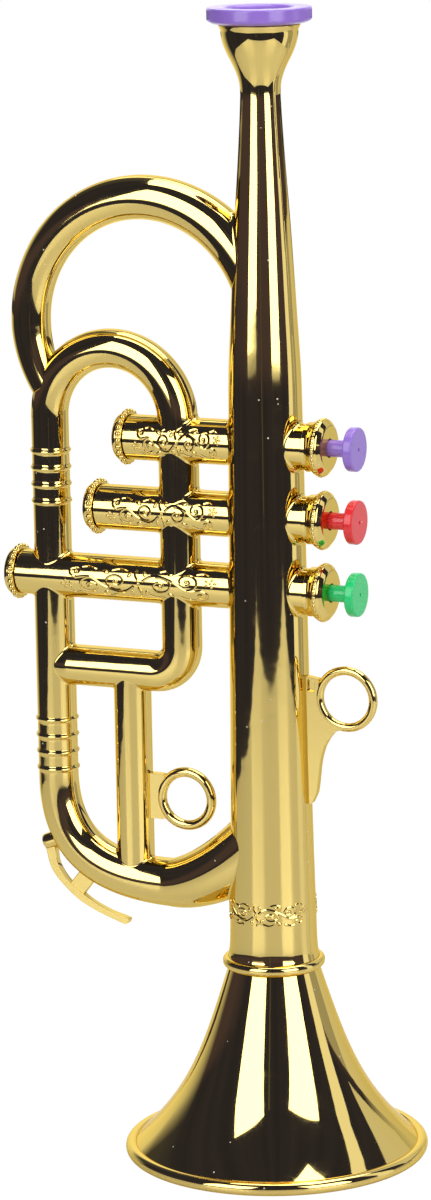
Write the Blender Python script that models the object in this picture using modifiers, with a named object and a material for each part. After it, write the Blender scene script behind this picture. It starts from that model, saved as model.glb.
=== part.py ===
"""Toy trumpet standing on its bell, as an assembly of moulded pieces.

Metres, +Z up along the main tube, +X towards the buttons, +Y away from the front.
X positions are measured from the axis of the main tube; one empty carries every piece
and shifts that axis, so that the middle of the whole object's footprint is at the origin.
"""
import math

import bmesh
import bpy
from mathutils import Vector, geometry

# Overall sizes
LENGTH = 0.370
BELL_RADIUS = 0.0492
WALL = 0.0015
FIT = 0.0003
PARTING_Y = -0.0025
TUBE_SIDES = 20
LOOP_SIDES_RESOLUTION = 3
BORE_SIDES_RESOLUTION = 1
SHARP_ANGLE = 35
WELD_DISTANCE = 1e-6
SLIT_SIDES = 3

# Main tube: radius at heights above the floor, then at depths below the mouthpiece rim
BELL_HEIGHT = 0.062
TUBE_LOWER = ((0.066, 0.0148), (0.076, 0.01405), (0.106, 0.01335), (0.170, 0.0126), (0.262, 0.01135))
TUBE_UPPER = ((0.068, 0.00885), (0.041, 0.0068), (0.029, 0.00625), (0.024, 0.0064))
CUP = ((0.0197, 0.0075), (0.0153, 0.0097), (0.011, 0.0111))
CUP_TOP_RADIUS = 0.0119
PROFILE_STEPS = 2

# Mouthpiece rim
RIM_RADIUS = 0.0164
RIM_THICKNESS = 0.005
RIM_HOLE_RADIUS = 0.0105
RIM_SPIGOT_DEPTH = 0.003
RIM_SPIGOT_WALL = 0.0013

# Bell and its collar
BELL_WALL = 0.0016
BELL_STRAIGHT_SHARE = 0.58
BELL_FLARE_POWER = 4.3
BELL_STEPS = 8
BELL_SIDES = 32
BELL_NECK_RADIUS = 0.0148
BELL_FOOT_WIDTH = 0.0014
BELL_EDGE = 0.0016
SPIGOT_HEIGHT = 0.012
COLLAR_HEIGHT = 0.0034
COLLAR_RADIUS = 0.01655

# Loops of tube, all in the plane of the main axis
LOOP_RADIUS = 0.0403
LOOP_CENTRE = (-0.0416, 0.2687)
LOOP_ROOT_RISE = 0.0013
LOOP_ROOT_RADIUS = 0.0078
LOOP_TUBE_RADIUS = 0.0064
LOOP_TAPER_ANGLE = 160
LOOP_START_ANGLE = 17
LOOP_STEPS = 18
ARCH_STEPS = 10
ELBOW_STEPS = 3
BEND_FALL_STEPS = 7
BEND_RISE_STEPS = 5
LOOP_END_RADIUS = 0.0057
LOOP_END_STEPS = 3
SIDE_TUBE_RADIUS = 0.0061
INNER_TUBE_RADIUS = 0.0065
CROSS_TUBE_RADIUS = 0.0066
STRUT_RADIUS = 0.0061
SIDE_X = -0.0761
INNER_X = -0.0305
INNER_ARCH_Z = 0.2381
CROSS_TUBE_Z = 0.1564
ELBOW_RADIUS = 0.0090
STRUT_X = -0.0486
BEND_TOP_Z = 0.1195
BEND_DROP_HANDLE = 0.0260
BEND_LEFT_HANDLE = 0.0235
BEND_RISE_HANDLE = (0.011, 0.009, 0.0085)
BEND_LOW = (-0.036, 0.0863)
BEND_END = (0.0, 0.1055)
BEND_LOW_RADIUS = 0.0079
BEND_END_RADIUS = 0.0128
RIB_HEIGHT = 0.0006
RIB_WIDTH = 0.0024
RIB_PITCH = 0.0055
RIBS_PER_SET = 4
RIB_SET_Z = (0.2186, 0.1301)

# Valves
VALVE_Z = 0.2094
VALVE_PITCH = 0.0232
CASING_RADIUS = 0.0073
CASING_ENDS = (-0.0468, -0.0577, -0.0867)
BARREL_END = 0.0169
VALVE_SIDES = 16
CASING_CAP_RADIUS = 0.0091
CASING_CAP_FLANGE = 0.0024
CASING_CAP_DOME_RADIUS = 0.0078
CASING_CAP_DOME = 0.0018
CASING_CAP_SPIGOT = 0.004
VALVE_CAP_SKIRT = 0.0017
VALVE_CAP_BULGE_RADIUS = 0.0095
VALVE_CAP_FACE_RADIUS = 0.0079
VALVE_CAP_DEPTH = 0.0044
VALVE_CAP_BULGE_SHARE = 0.58
STEM_RADIUS = 0.0027
STEM_EXPOSED = 0.0078
BUTTON_RADIUS = 0.0067
BUTTON_THICKNESS = 0.0027
BUTTON_ROUNDING = 0.0007
FLANGE_THICKNESS = 0.0016
FLANGE_GAP = 0.00045
ROD_RADIUS = 0.0016
ROD_TAIL = 0.0008

# Reed block, plate, reeds, pads and springs inside the main tube
BLOCK_WIDTH = 0.009
BLOCK_MARGIN = 0.0165
BLOCK_DISC = 0.0025
AIR_HOLE_RADIUS = 0.0032
AIR_HOLE_DEPTH = 0.006
PAD_RADIUS = 0.0042
PAD_THICKNESS = 0.0024
REED_PLATE_WIDTH = 0.0120
REED_PLATE_THICKNESS = 0.0008
REED_PLATE_MARGIN = 0.0010
REED_SLOT_TOP = 0.0052
REED_SLOT_LENGTH = 0.0090
REED_SLOT_WIDTH = 0.0034
REED_WIDTH = 0.0028
REED_FOOT = 0.0012
REED_THICKNESS = 0.0004
SPRING_SEAT_RADIUS = 0.0041
SPRING_RADIUS = 0.0030
SPRING_WIRE_RADIUS = 0.00035
SPRING_TURNS = 5
SPRING_POINTS_PER_TURN = 8

# Finger hook, slide ring and water key: flat mouldings in the main plane, as (x, z) points
PLATE_HALF_THICKNESS = 0.0013
RING_SIDES = 20
RING_WIRE_SIDES = 8
TONGUE_HALF_THICKNESS = 0.0009
TONGUE_DEPTH = 0.0025
HOOK_RING = (0.0265, 0.1522)
HOOK_RING_RADIUS = 0.0092
HOOK_WIRE_RADIUS = 0.0014
HOOK_OUTLINE = ((0.0110, 0.1592), (0.0176, 0.1582), (0.0172, 0.1520), (0.0196, 0.1460), (0.0263, 0.1428),
                (0.0226, 0.1413), (0.0206, 0.1389), (0.0190, 0.1361), (0.0179, 0.1326), (0.0173, 0.1292),
                (0.0168, 0.1246), (0.0162, 0.1208), (0.0145, 0.1172), (0.0110, 0.1172))
HOOK_EYE = ((0.0140, 0.1576), (0.0140, 0.1534), (0.0156, 0.1534), (0.0160, 0.1572))
HOOK_TONGUE_Z = (0.122, 0.146)
SLIDE_RING = (-0.0300, 0.1148)
SLIDE_RING_RADIUS = 0.0088
SLIDE_WIRE_RADIUS = 0.00145
SLIDE_OUTLINE = ((-0.0450, 0.1225), (-0.0376, 0.1225), (-0.0367, 0.1206), (-0.0388, 0.1148),
                 (-0.0367, 0.1090), (-0.0374, 0.1075), (-0.0450, 0.1075))
SLIDE_TONGUE_Z = (0.1115, 0.1190)
KEY_RADIUS = 0.0012
KEY_POINTS = ((-0.0779, 0.1005), (-0.0803, 0.0940), (-0.0787, 0.0877), (-0.0735, 0.0820),
              (-0.0670, 0.0773), (-0.0599, 0.0738), (-0.0524, 0.0716))
KEY_WEB = ((-0.0680, 0.0892), (-0.0634, 0.0866), (-0.0684, 0.0795), (-0.0724, 0.0828))
KEY_TONGUE = ((-0.0694, 0.0849), (-0.0672, 0.0835), (-0.0634, 0.0890), (-0.0656, 0.0904))

# Screws that hold the two shells: heights on the main tube and on the side tube, and sizes
MAIN_SCREW_Z = (0.134, 0.268)
SIDE_SCREW_Z = 0.1713
SCREW_RADIUS = 0.0011
SCREW_HEAD_RADIUS = 0.0021
SCREW_HEAD_HEIGHT = 0.0013
SCREW_HEAD_FLAT = 0.0015
SCREW_SIDES = 14
SCREW_LENGTH = 0.0070
SCREW_GRIP = 0.0050
BOSS_RADIUS = 0.0034

GOLD = (0.80, 0.57, 0.18)
PURPLE = (0.24, 0.12, 0.62)
RED = (0.75, 0.03, 0.07)
GREEN = (0.04, 0.60, 0.18)
STEEL = (0.60, 0.60, 0.62)
BRASS = (0.72, 0.55, 0.25)
IVORY = (0.80, 0.78, 0.70)
RUBBER = (0.05, 0.05, 0.05)

PARTS_NAME = "toy_trumpet"
valve_heights = [VALVE_Z + VALVE_PITCH, VALVE_Z, VALVE_Z - VALVE_PITCH]
left_reach = max(-end for end in CASING_ENDS) + FIT + CASING_CAP_FLANGE + CASING_CAP_DOME
axis_x = (left_reach - BELL_RADIUS) / 2


def start_scene():
    """Empty the scene and make the two collections and the empty that carries the pieces."""
    for old in list(bpy.data.objects):
        bpy.data.objects.remove(old, do_unlink=True)
    for name in (PARTS_NAME, "cutters"):
        collection = bpy.data.collections.new(name)
        bpy.context.scene.collection.children.link(collection)
    carrier = bpy.data.objects.new("main_axis", None)
    carrier.location = (axis_x, 0, 0)
    bpy.data.collections[PARTS_NAME].objects.link(carrier)
    return carrier


def material(name, colour, roughness, metallic):
    """A Principled material, made once for each finish."""
    if name in bpy.data.materials:
        return bpy.data.materials[name]
    made = bpy.data.materials.new(name)
    made.use_nodes = True
    shader = made.node_tree.nodes["Principled BSDF"]
    shader.inputs["Base Color"].default_value = (*colour, 1)
    shader.inputs["Roughness"].default_value = roughness
    shader.inputs["Metallic"].default_value = metallic
    return made


def add_object(name, data):
    """Put new data in the cutters collection, hidden from renders, until it becomes a part."""
    made = bpy.data.objects.new(name, data)
    made.parent = carrier
    made.hide_render = True
    made.display_type = "WIRE"
    bpy.data.collections["cutters"].objects.link(made)
    return made


def finish(made, finish_material):
    """Turn a worked object into a part: its own mesh, its material and smooth shading."""
    bake(made)
    bpy.data.collections["cutters"].objects.unlink(made)
    bpy.data.collections[PARTS_NAME].objects.link(made)
    made.hide_render = False
    made.display_type = "TEXTURED"
    made.data.materials.clear()
    made.data.materials.append(finish_material)
    made.data.shade_smooth()
    made.data.set_sharp_from_angle(angle=math.radians(SHARP_ANGLE))
    return made


def bake(made):
    """Replace an object's data by the mesh that its modifiers or curve give, welded.

    A Boolean can lose a very thin triangle, so a slit of three edges is closed again.
    """
    bpy.context.view_layer.update()
    evaluated = made.evaluated_get(bpy.context.evaluated_depsgraph_get())
    mesh = bpy.data.meshes.new_from_object(evaluated)
    shape = bmesh.new()
    shape.from_mesh(mesh)
    bmesh.ops.remove_doubles(shape, verts=shape.verts, dist=WELD_DISTANCE)
    slits = [edge for edge in shape.edges if edge.is_boundary]
    bmesh.ops.holes_fill(shape, edges=slits, sides=SLIT_SIDES)
    shape.to_mesh(mesh)
    shape.free()
    if made.type == "MESH":
        made.modifiers.clear()
        made.data = mesh
        return made
    name = made.name
    place = made.matrix_basis.copy()
    bpy.data.objects.remove(made, do_unlink=True)
    made = add_object(name, mesh)
    made.matrix_basis = place
    return made


def combine(made, others, operation):
    """Join or cut an object by others with the exact Boolean, and drop the others."""
    for other in others:
        boolean = made.modifiers.new(operation.lower(), "BOOLEAN")
        boolean.operation = operation
        boolean.solver = "EXACT"
        boolean.object = other
    bake(made)
    for other in others:
        bpy.data.objects.remove(other, do_unlink=True)
    return made


def turned(name, profile, sides, closed=False):
    """A turned solid: (radius, height) points running down the outer side, spun about Z."""
    mesh = bpy.data.meshes.new(name)
    shape = bmesh.new()
    points = [shape.verts.new((radius, 0, height)) for radius, height in profile]
    for first, second in zip(points, points[1:]):
        shape.edges.new((first, second))
    if closed:
        shape.edges.new((points[-1], points[0]))
    shape.to_mesh(mesh)
    shape.free()
    made = add_object(name, mesh)
    screw = made.modifiers.new("turn", "SCREW")
    screw.axis = "Z"
    screw.steps = screw.render_steps = sides
    screw.use_merge_vertices = True
    screw.merge_threshold = WELD_DISTANCE
    return bake(made)


def along_x(made, height):
    """Lay a turned solid along +X at a height above the floor, on the main tube's plane."""
    made.rotation_euler = (0, math.pi / 2, 0)
    made.location = (0, 0, height)
    return made


def tube(name, points, radii, resolution):
    """A round tube along points of the main plane, each with its own radius."""
    curve = bpy.data.curves.new(name, "CURVE")
    curve.dimensions = "3D"
    curve.bevel_depth = 1.0
    curve.bevel_resolution = resolution
    curve.use_fill_caps = True
    curve.twist_mode = "MINIMUM"
    spline = curve.splines.new("POLY")
    spline.points.add(len(points) - 1)
    for slot, point, radius in zip(spline.points, points, radii):
        slot.co = (*point, 1)
        slot.radius = radius
    return bake(add_object(name, curve))


def cylinder(name, radius, start, end, sides):
    """A plain cylinder between two points."""
    start, end = Vector(start), Vector(end)
    shape = bmesh.new()
    bmesh.ops.create_cone(shape, cap_ends=True, segments=sides, radius1=radius, radius2=radius,
                          depth=(end - start).length)
    turn = (end - start).to_track_quat("Z", "Y").to_matrix().to_4x4()
    bmesh.ops.transform(shape, matrix=turn, verts=shape.verts)
    bmesh.ops.translate(shape, vec=(start + end) / 2, verts=shape.verts)
    return solid(name, shape)


def box(name, low, high):
    """A box between two corners."""
    low, high = Vector(low), Vector(high)
    shape = bmesh.new()
    bmesh.ops.create_cube(shape, size=1)
    bmesh.ops.scale(shape, vec=high - low, verts=shape.verts)
    bmesh.ops.translate(shape, vec=(low + high) / 2, verts=shape.verts)
    return solid(name, shape)


def solid(name, shape):
    """Turn a bmesh into an object."""
    mesh = bpy.data.meshes.new(name)
    shape.to_mesh(mesh)
    shape.free()
    return add_object(name, mesh)


def flat_plate(name, outline, half_thickness):
    """A flat plate in the main plane from an outline of (x, z) points."""
    curve = bpy.data.curves.new(name, "CURVE")
    curve.dimensions = "2D"
    curve.fill_mode = "BOTH"
    curve.extrude = half_thickness
    spline = curve.splines.new("POLY")
    spline.points.add(len(outline) - 1)
    for slot, (x, z) in zip(spline.points, outline):
        slot.co = (x, z, 0, 1)
    spline.use_cyclic_u = True
    made = add_object(name, curve)
    made.rotation_euler = (math.pi / 2, 0, 0)
    return bake(made)


def ring(name, centre, radius, wire_radius):
    """A round wire ring in the main plane."""
    bpy.ops.mesh.primitive_torus_add(major_radius=radius, minor_radius=wire_radius,
                                     major_segments=RING_SIDES, minor_segments=RING_WIRE_SIDES)
    made = bpy.context.object
    mesh = made.data
    bpy.data.objects.remove(made, do_unlink=True)
    made = add_object(name, mesh)
    made.rotation_euler = (math.pi / 2, 0, 0)
    made.location = (centre[0], 0, centre[1])
    return made


def smooth_radius(table, height):
    """Radius at a height, on a smooth curve through a table of rising (height, radius) rows."""
    height = min(max(height, table[0][0]), table[-1][0])
    for index in range(len(table) - 1):
        if height <= table[index + 1][0]:
            break
    slopes = [(b[1] - a[1]) / (b[0] - a[0]) for a, b in zip(table, table[1:])]
    start_slope = slopes[index] if index == 0 else (slopes[index - 1] + slopes[index]) / 2
    end_slope = slopes[index] if index + 2 == len(table) else (slopes[index] + slopes[index + 1]) / 2
    (z0, r0), (z1, r1) = table[index], table[index + 1]
    span = z1 - z0
    t = (height - z0) / span
    return (r0 * (1 + 2 * t) * (1 - t) ** 2 + start_slope * span * t * (1 - t) ** 2
            + r1 * t * t * (3 - 2 * t) + end_slope * span * t * t * (t - 1))


def steps_between(table):
    """Heights of a table's rows, with a few more between each pair."""
    heights = [table[0][0]]
    for low, high in zip(table, table[1:]):
        for step in range(1, PROFILE_STEPS + 1):
            heights.append(low[0] + (high[0] - low[0]) * step / PROFILE_STEPS)
    return heights


def arc(centre, radius, start, end, steps):
    """Points of an arc in the main plane, angles in degrees from +X towards +Z."""
    points = []
    for step in range(steps + 1):
        angle = math.radians(start + (end - start) * step / steps)
        points.append((centre[0] + radius * math.cos(angle), 0, centre[1] + radius * math.sin(angle)))
    return points


def bezier(first, first_handle, second_handle, second, steps):
    """Points of a curve in the main plane between two (x, z) points with their handles."""
    knots = [Vector((x, 0, z)) for x, z in (first, first_handle, second_handle, second)]
    return [tuple(point) for point in geometry.interpolate_bezier(*knots, steps + 1)]


def tube_radius(height):
    """Outer radius of the main tube and the cup at a height."""
    return smooth_radius(tube_table, height)


def side_tube_path(inset):
    """Inner tube up from the third casing, arch, side tube with ribs, bend into the main tube."""
    arch = arc(((SIDE_X + INNER_X) / 2, INNER_ARCH_Z), (INNER_X - SIDE_X) / 2, 0, 180, ARCH_STEPS)
    rows = []
    for point in [(INNER_X, 0, valve_heights[-1] + FIT), *arch]:
        share = (point[0] - SIDE_X) / (INNER_X - SIDE_X)
        rows.append((point, SIDE_TUBE_RADIUS + (INNER_TUBE_RADIUS - SIDE_TUBE_RADIUS) * share))
    rib_shape = ((0.5, 0), (0.25, RIB_HEIGHT), (-0.25, RIB_HEIGHT), (-0.5, 0))
    for middle in RIB_SET_Z if inset == 0 else ():
        top_rib = middle + RIB_PITCH * (RIBS_PER_SET - 1) / 2
        for rib in range(RIBS_PER_SET):
            for offset, rise in rib_shape:
                height = top_rib - rib * RIB_PITCH + offset * RIB_WIDTH
                rows.append(((SIDE_X, 0, height), SIDE_TUBE_RADIUS + rise))
    fall = bezier((SIDE_X, BEND_TOP_Z), (SIDE_X, BEND_TOP_Z - BEND_DROP_HANDLE),
                  (BEND_LOW[0] - BEND_LEFT_HANDLE, BEND_LOW[1]), BEND_LOW, BEND_FALL_STEPS)
    for point in fall:
        share = max(0, (point[0] - SIDE_X) / (BEND_LOW[0] - SIDE_X))
        rows.append((point, SIDE_TUBE_RADIUS + (BEND_LOW_RADIUS - SIDE_TUBE_RADIUS) * share))
    first, second, second_drop = BEND_RISE_HANDLE
    rise = bezier(BEND_LOW, (BEND_LOW[0] + first, BEND_LOW[1]),
                  (BEND_END[0] - second, BEND_END[1] - second_drop), BEND_END, BEND_RISE_STEPS)
    for point in rise[1:]:
        share = (point[0] - BEND_LOW[0]) / (BEND_END[0] - BEND_LOW[0])
        rows.append((point, BEND_LOW_RADIUS + (BEND_END_RADIUS - BEND_LOW_RADIUS) * share))
    return [point for point, radius in rows], [radius - inset for point, radius in rows]


def cross_tube_path():
    """Inner tube down from the third casing, round the elbow and across to the side tube."""
    points = [(INNER_X, 0, valve_heights[-1] - FIT)]
    points += arc((INNER_X - ELBOW_RADIUS, CROSS_TUBE_Z + ELBOW_RADIUS), ELBOW_RADIUS, 0, -90, ELBOW_STEPS)
    return points + [(SIDE_X, 0, CROSS_TUBE_Z)]


def loop_path(inset):
    """Outer loop from inside the main tube to the side tube, where it narrows into it."""
    end_angle = 360 - math.degrees(math.acos((SIDE_X - LOOP_CENTRE[0]) / LOOP_RADIUS))
    points, radii = [], []
    for step in range(LOOP_STEPS + 1):
        angle = LOOP_START_ANGLE + (end_angle - LOOP_START_ANGLE) * step / LOOP_STEPS
        taper = min(1, (angle - LOOP_START_ANGLE) / (LOOP_TAPER_ANGLE - LOOP_START_ANGLE))
        narrowing = max(0, step - LOOP_STEPS + LOOP_END_STEPS) / LOOP_END_STEPS
        points += arc(LOOP_CENTRE, LOOP_RADIUS + LOOP_ROOT_RISE * (1 - taper), angle, angle, 1)[:1]
        radii.append(LOOP_ROOT_RADIUS + (LOOP_TUBE_RADIUS - LOOP_ROOT_RADIUS) * taper
                     + (LOOP_END_RADIUS - LOOP_TUBE_RADIUS) * narrowing - inset)
    return points, radii


def body_tubes(label, inset):
    """Solids of the body's tubes and casings, their surface set in by a wall or by nothing."""
    resolution = BORE_SIDES_RESOLUTION if inset else LOOP_SIDES_RESOLUTION
    cross = cross_tube_path()
    cross_radii = [CROSS_TUBE_RADIUS - inset] * (len(cross) - 1) + [LOOP_END_RADIUS - inset]
    strut = [(STRUT_X, 0, CROSS_TUBE_Z), (STRUT_X, 0, BEND_LOW[1])]
    made = [
        tube(f"loop_{label}", *loop_path(inset), resolution),
        tube(f"side_tube_{label}", *side_tube_path(inset), resolution),
        tube(f"cross_tube_{label}", cross, cross_radii, resolution),
        tube(f"strut_{label}", strut, [STRUT_RADIUS - inset] * len(strut), resolution),
    ]
    overrun = WALL if inset else 0
    for number, (height, end) in enumerate(zip(valve_heights, CASING_ENDS), 1):
        made.append(cylinder(f"casing_{number}_{label}", CASING_RADIUS - inset,
                             (end - overrun, 0, height), (BARREL_END + overrun, 0, height), VALVE_SIDES))
    return made


def hollow_body():
    """The whole body: all tubes joined, with every bore cut out of them."""
    profile = [(tube_radius(z), z) for z in reversed(steps_between(tube_table))]
    body = turned("body", [(0, cup_top_z), *profile, (0, foot_z)], TUBE_SIDES)
    combine(body, body_tubes("solid", 0), "UNION")
    bore = [(radius - WALL, height) for radius, height in profile]
    bore = [(bore[0][0], cup_top_z + WALL), *bore, (bore[-1][0], foot_z - WALL)]
    bores = turned("bores", [(0, cup_top_z + WALL), *bore, (0, foot_z - WALL)], TUBE_SIDES)
    combine(bores, body_tubes("bore", WALL), "UNION")
    return combine(body, [bores], "DIFFERENCE")


def add_screw_bosses(body):
    """Bosses across the tubes, with a pilot hole in front and a sunk clearance hole behind."""
    seat = PARTING_Y + SCREW_GRIP
    for number, (x, z, radius) in enumerate(screw_places, 1):
        reach = radius - WALL / 2
        boss = cylinder(f"boss_{number}", BOSS_RADIUS, (x, -reach, z), (x, reach, z), SCREW_SIDES)
        combine(body, [boss], "UNION")
        hole = cylinder(f"screw_hole_{number}", SCREW_RADIUS + FIT,
                        (x, seat - SCREW_LENGTH - FIT, z), (x, seat, z), SCREW_SIDES)
        sink = cylinder(f"screw_sink_{number}", SCREW_HEAD_RADIUS + FIT,
                        (x, seat - FIT, z), (x, 2 * radius, z), SCREW_SIDES)
        combine(body, [hole, sink], "DIFFERENCE")


def half_of(body, name, front):
    """One half of the body, on its side of the parting plane and clear of it."""
    far = LENGTH
    low_y, high_y = (-far, PARTING_Y - FIT / 2) if front else (PARTING_Y + FIT / 2, far)
    half = add_object(name, body.data.copy())
    return combine(half, [box(f"{name}_side", (-far, low_y, -far), (far, high_y, 2 * far))], "INTERSECT")


def tongue_and_slot(name, piece, shell, outline):
    """Give a flat moulding a tongue through the shell's wall, and the shell a slot for it."""
    middle_x = sum(x for x, z in outline) / len(outline)
    middle_z = sum(z for x, z in outline) / len(outline)
    grown = []
    for x, z in outline:
        away = Vector((x - middle_x, z - middle_z)).normalized() * 2 * FIT
        grown.append((x + away.x, z + away.y))
    combine(piece, [flat_plate(f"{name}_tongue", outline, TONGUE_HALF_THICKNESS)], "UNION")
    combine(shell, [flat_plate(f"{name}_slot", grown, TONGUE_HALF_THICKNESS + FIT)], "DIFFERENCE")


def make_finger_hook(shell):
    """Ring and tapered plate, cut to lie along the main tube."""
    hook = flat_plate("finger_hook", HOOK_OUTLINE, PLATE_HALF_THICKNESS)
    combine(hook, [flat_plate("hook_eye", HOOK_EYE, 2 * PLATE_HALF_THICKNESS)], "DIFFERENCE")
    combine(hook, [ring("hook_ring", HOOK_RING, HOOK_RING_RADIUS, HOOK_WIRE_RADIUS)], "UNION")
    high, low = max(z for x, z in HOOK_OUTLINE), min(z for x, z in HOOK_OUTLINE)
    rows = [high + PLATE_HALF_THICKNESS, *reversed(HOOK_TONGUE_Z), low - PLATE_HALF_THICKNESS]
    clear = [(tube_radius(z) + FIT, z) for z in rows]
    combine(hook, [turned("hook_clear", [(0, rows[0]), *clear, (0, rows[-1])], TUBE_SIDES)], "DIFFERENCE")
    inside = tube_radius(HOOK_TONGUE_Z[0]) - TONGUE_DEPTH
    outside = tube_radius(HOOK_TONGUE_Z[0]) + TONGUE_DEPTH / 2
    low, high = HOOK_TONGUE_Z
    tongue_and_slot("hook", hook, shell, ((inside, low), (outside, low), (outside, high), (inside, high)))
    return finish(hook, gold)


def make_slide_ring(shell):
    """Ring on a short plate that stands on the strut."""
    plate = flat_plate("slide_ring", SLIDE_OUTLINE, PLATE_HALF_THICKNESS)
    combine(plate, [ring("slide_wire", SLIDE_RING, SLIDE_RING_RADIUS, SLIDE_WIRE_RADIUS)], "UNION")
    clear = cylinder("slide_clear", STRUT_RADIUS + FIT, (STRUT_X, 0, BEND_LOW[1]),
                     (STRUT_X, 0, CROSS_TUBE_Z), TUBE_SIDES)
    combine(plate, [clear], "DIFFERENCE")
    inside = STRUT_X + STRUT_RADIUS - TONGUE_DEPTH
    outside = STRUT_X + STRUT_RADIUS + TONGUE_DEPTH / 2
    low, high = SLIDE_TONGUE_Z
    tongue_and_slot("slide", plate, shell, ((inside, low), (outside, low), (outside, high), (inside, high)))
    return finish(plate, gold)


def make_water_key(shell):
    """Curved finger lever with a web, both cut to the lower bend."""
    knots = [Vector((x, 0, z)) for x, z in KEY_POINTS]
    points = []
    for index in range(len(knots) - 1):
        before = knots[max(index - 1, 0)]
        after = knots[min(index + 2, len(knots) - 1)]
        first = knots[index] + (knots[index + 1] - before) / 6
        second = knots[index + 1] - (after - knots[index]) / 6
        points += geometry.interpolate_bezier(knots[index], first, second, knots[index + 1], 4)[:-1]
    points.append(knots[-1])
    key = tube("water_key", [tuple(point) for point in points], [KEY_RADIUS] * len(points), 3)
    combine(key, [flat_plate("key_web", KEY_WEB, TONGUE_HALF_THICKNESS)], "UNION")
    combine(key, [tube("key_clear", *side_tube_path(-FIT), LOOP_SIDES_RESOLUTION)], "DIFFERENCE")
    tongue_and_slot("key", key, shell, KEY_TONGUE)
    return finish(key, gold)


def make_mouthpiece_rim():
    """Purple ring on the cup, with a short spigot that goes into it."""
    top, bottom = LENGTH, LENGTH - RIM_THICKNESS
    spigot_low = bottom - RIM_SPIGOT_DEPTH
    spigot_radius = tube_radius(spigot_low) - WALL - FIT
    round_off = RIM_THICKNESS / 5
    profile = [(RIM_HOLE_RADIUS, top - round_off), (RIM_HOLE_RADIUS + round_off, top),
               (RIM_RADIUS - round_off, top), (RIM_RADIUS, top - round_off),
               (RIM_RADIUS, bottom + round_off), (RIM_RADIUS - round_off, bottom),
               (spigot_radius, bottom), (spigot_radius, spigot_low),
               (spigot_radius - RIM_SPIGOT_WALL, spigot_low), (spigot_radius - RIM_SPIGOT_WALL, bottom)]
    return finish(turned("mouthpiece_rim", profile, BELL_SIDES, closed=True), purple)


def bell_radius(height):
    """Outer radius of the bell: a straight share plus a power law flare towards the rim."""
    fall = 1 - height / BELL_HEIGHT
    share = BELL_STRAIGHT_SHARE * fall + (1 - BELL_STRAIGHT_SHARE) * fall ** BELL_FLARE_POWER
    return BELL_NECK_RADIUS + (BELL_RADIUS - BELL_NECK_RADIUS) * share


def make_bell():
    """Flared horn with a flat foot ring at its rim and a spigot inside the main tube."""
    heights = [BELL_HEIGHT + (BELL_EDGE - BELL_HEIGHT) * math.sqrt(step / BELL_STEPS)
               for step in range(BELL_STEPS + 1)]
    outer = [(bell_radius(z), z) for z in heights]
    inner = []
    for (r0, z0), (r1, z1) in zip(outer, outer[1:]):
        normal = Vector((z1 - z0, r0 - r1)).normalized()
        inner.append(((r0 + r1) / 2 + normal.x * BELL_WALL, (z0 + z1) / 2 + normal.y * BELL_WALL))
    spigot_top = BELL_HEIGHT + SPIGOT_HEIGHT
    spigot_radius = tube_radius(spigot_top) - WALL - FIT
    foot = [(BELL_RADIUS, BELL_EDGE), (BELL_RADIUS, BELL_EDGE / 2), (BELL_RADIUS - BELL_EDGE / 2, 0),
            (BELL_RADIUS - BELL_EDGE / 2 - BELL_FOOT_WIDTH, 0)]
    profile = [(spigot_radius, spigot_top), (spigot_radius, BELL_HEIGHT), *outer[:-1], *foot]
    profile += [point for point in reversed(inner) if point[1] > BELL_EDGE / 2]
    bore = spigot_radius - BELL_WALL
    profile += [(bore, BELL_HEIGHT - BELL_WALL), (bore, spigot_top)]
    return finish(turned("bell", profile, BELL_SIDES, closed=True), gold)


def make_bell_collar():
    """Rounded ring over the end of the main tube, resting on the bell."""
    bore, low, high = TUBE_LOWER[0][1] + FIT, foot_z, foot_z + COLLAR_HEIGHT
    bulge = COLLAR_RADIUS - bore
    profile = [(bore, high), (bore + bulge / 2, high), (COLLAR_RADIUS - bulge / 8, high - COLLAR_HEIGHT / 5),
               (COLLAR_RADIUS, (low + high) / 2), (COLLAR_RADIUS - bulge / 8, low + COLLAR_HEIGHT / 5),
               (bore + bulge / 2, low), (bore, low)]
    return finish(turned("bell_collar", profile, BELL_SIDES, closed=True), gold)


def make_casing_cap(number, height, end):
    """Flange with a low dome on the left end of a casing, and a spigot inside it."""
    seat = end - FIT
    dome = seat - CASING_CAP_FLANGE
    outside = dome - CASING_CAP_DOME
    spigot = CASING_RADIUS - WALL - FIT
    edge = CASING_CAP_FLANGE / 4
    profile = [(0, end + CASING_CAP_SPIGOT), (spigot, end + CASING_CAP_SPIGOT), (spigot, seat),
               (CASING_CAP_RADIUS - edge, seat), (CASING_CAP_RADIUS, seat - edge),
               (CASING_CAP_RADIUS, dome + edge), (CASING_CAP_RADIUS - edge, dome),
               (CASING_CAP_DOME_RADIUS, dome), (CASING_CAP_DOME_RADIUS - edge, outside + edge),
               (CASING_CAP_DOME_RADIUS - CASING_CAP_DOME, outside), (0, outside)]
    return finish(along_x(turned(f"casing_cap_{number}", profile, VALVE_SIDES), height), gold)


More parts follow.
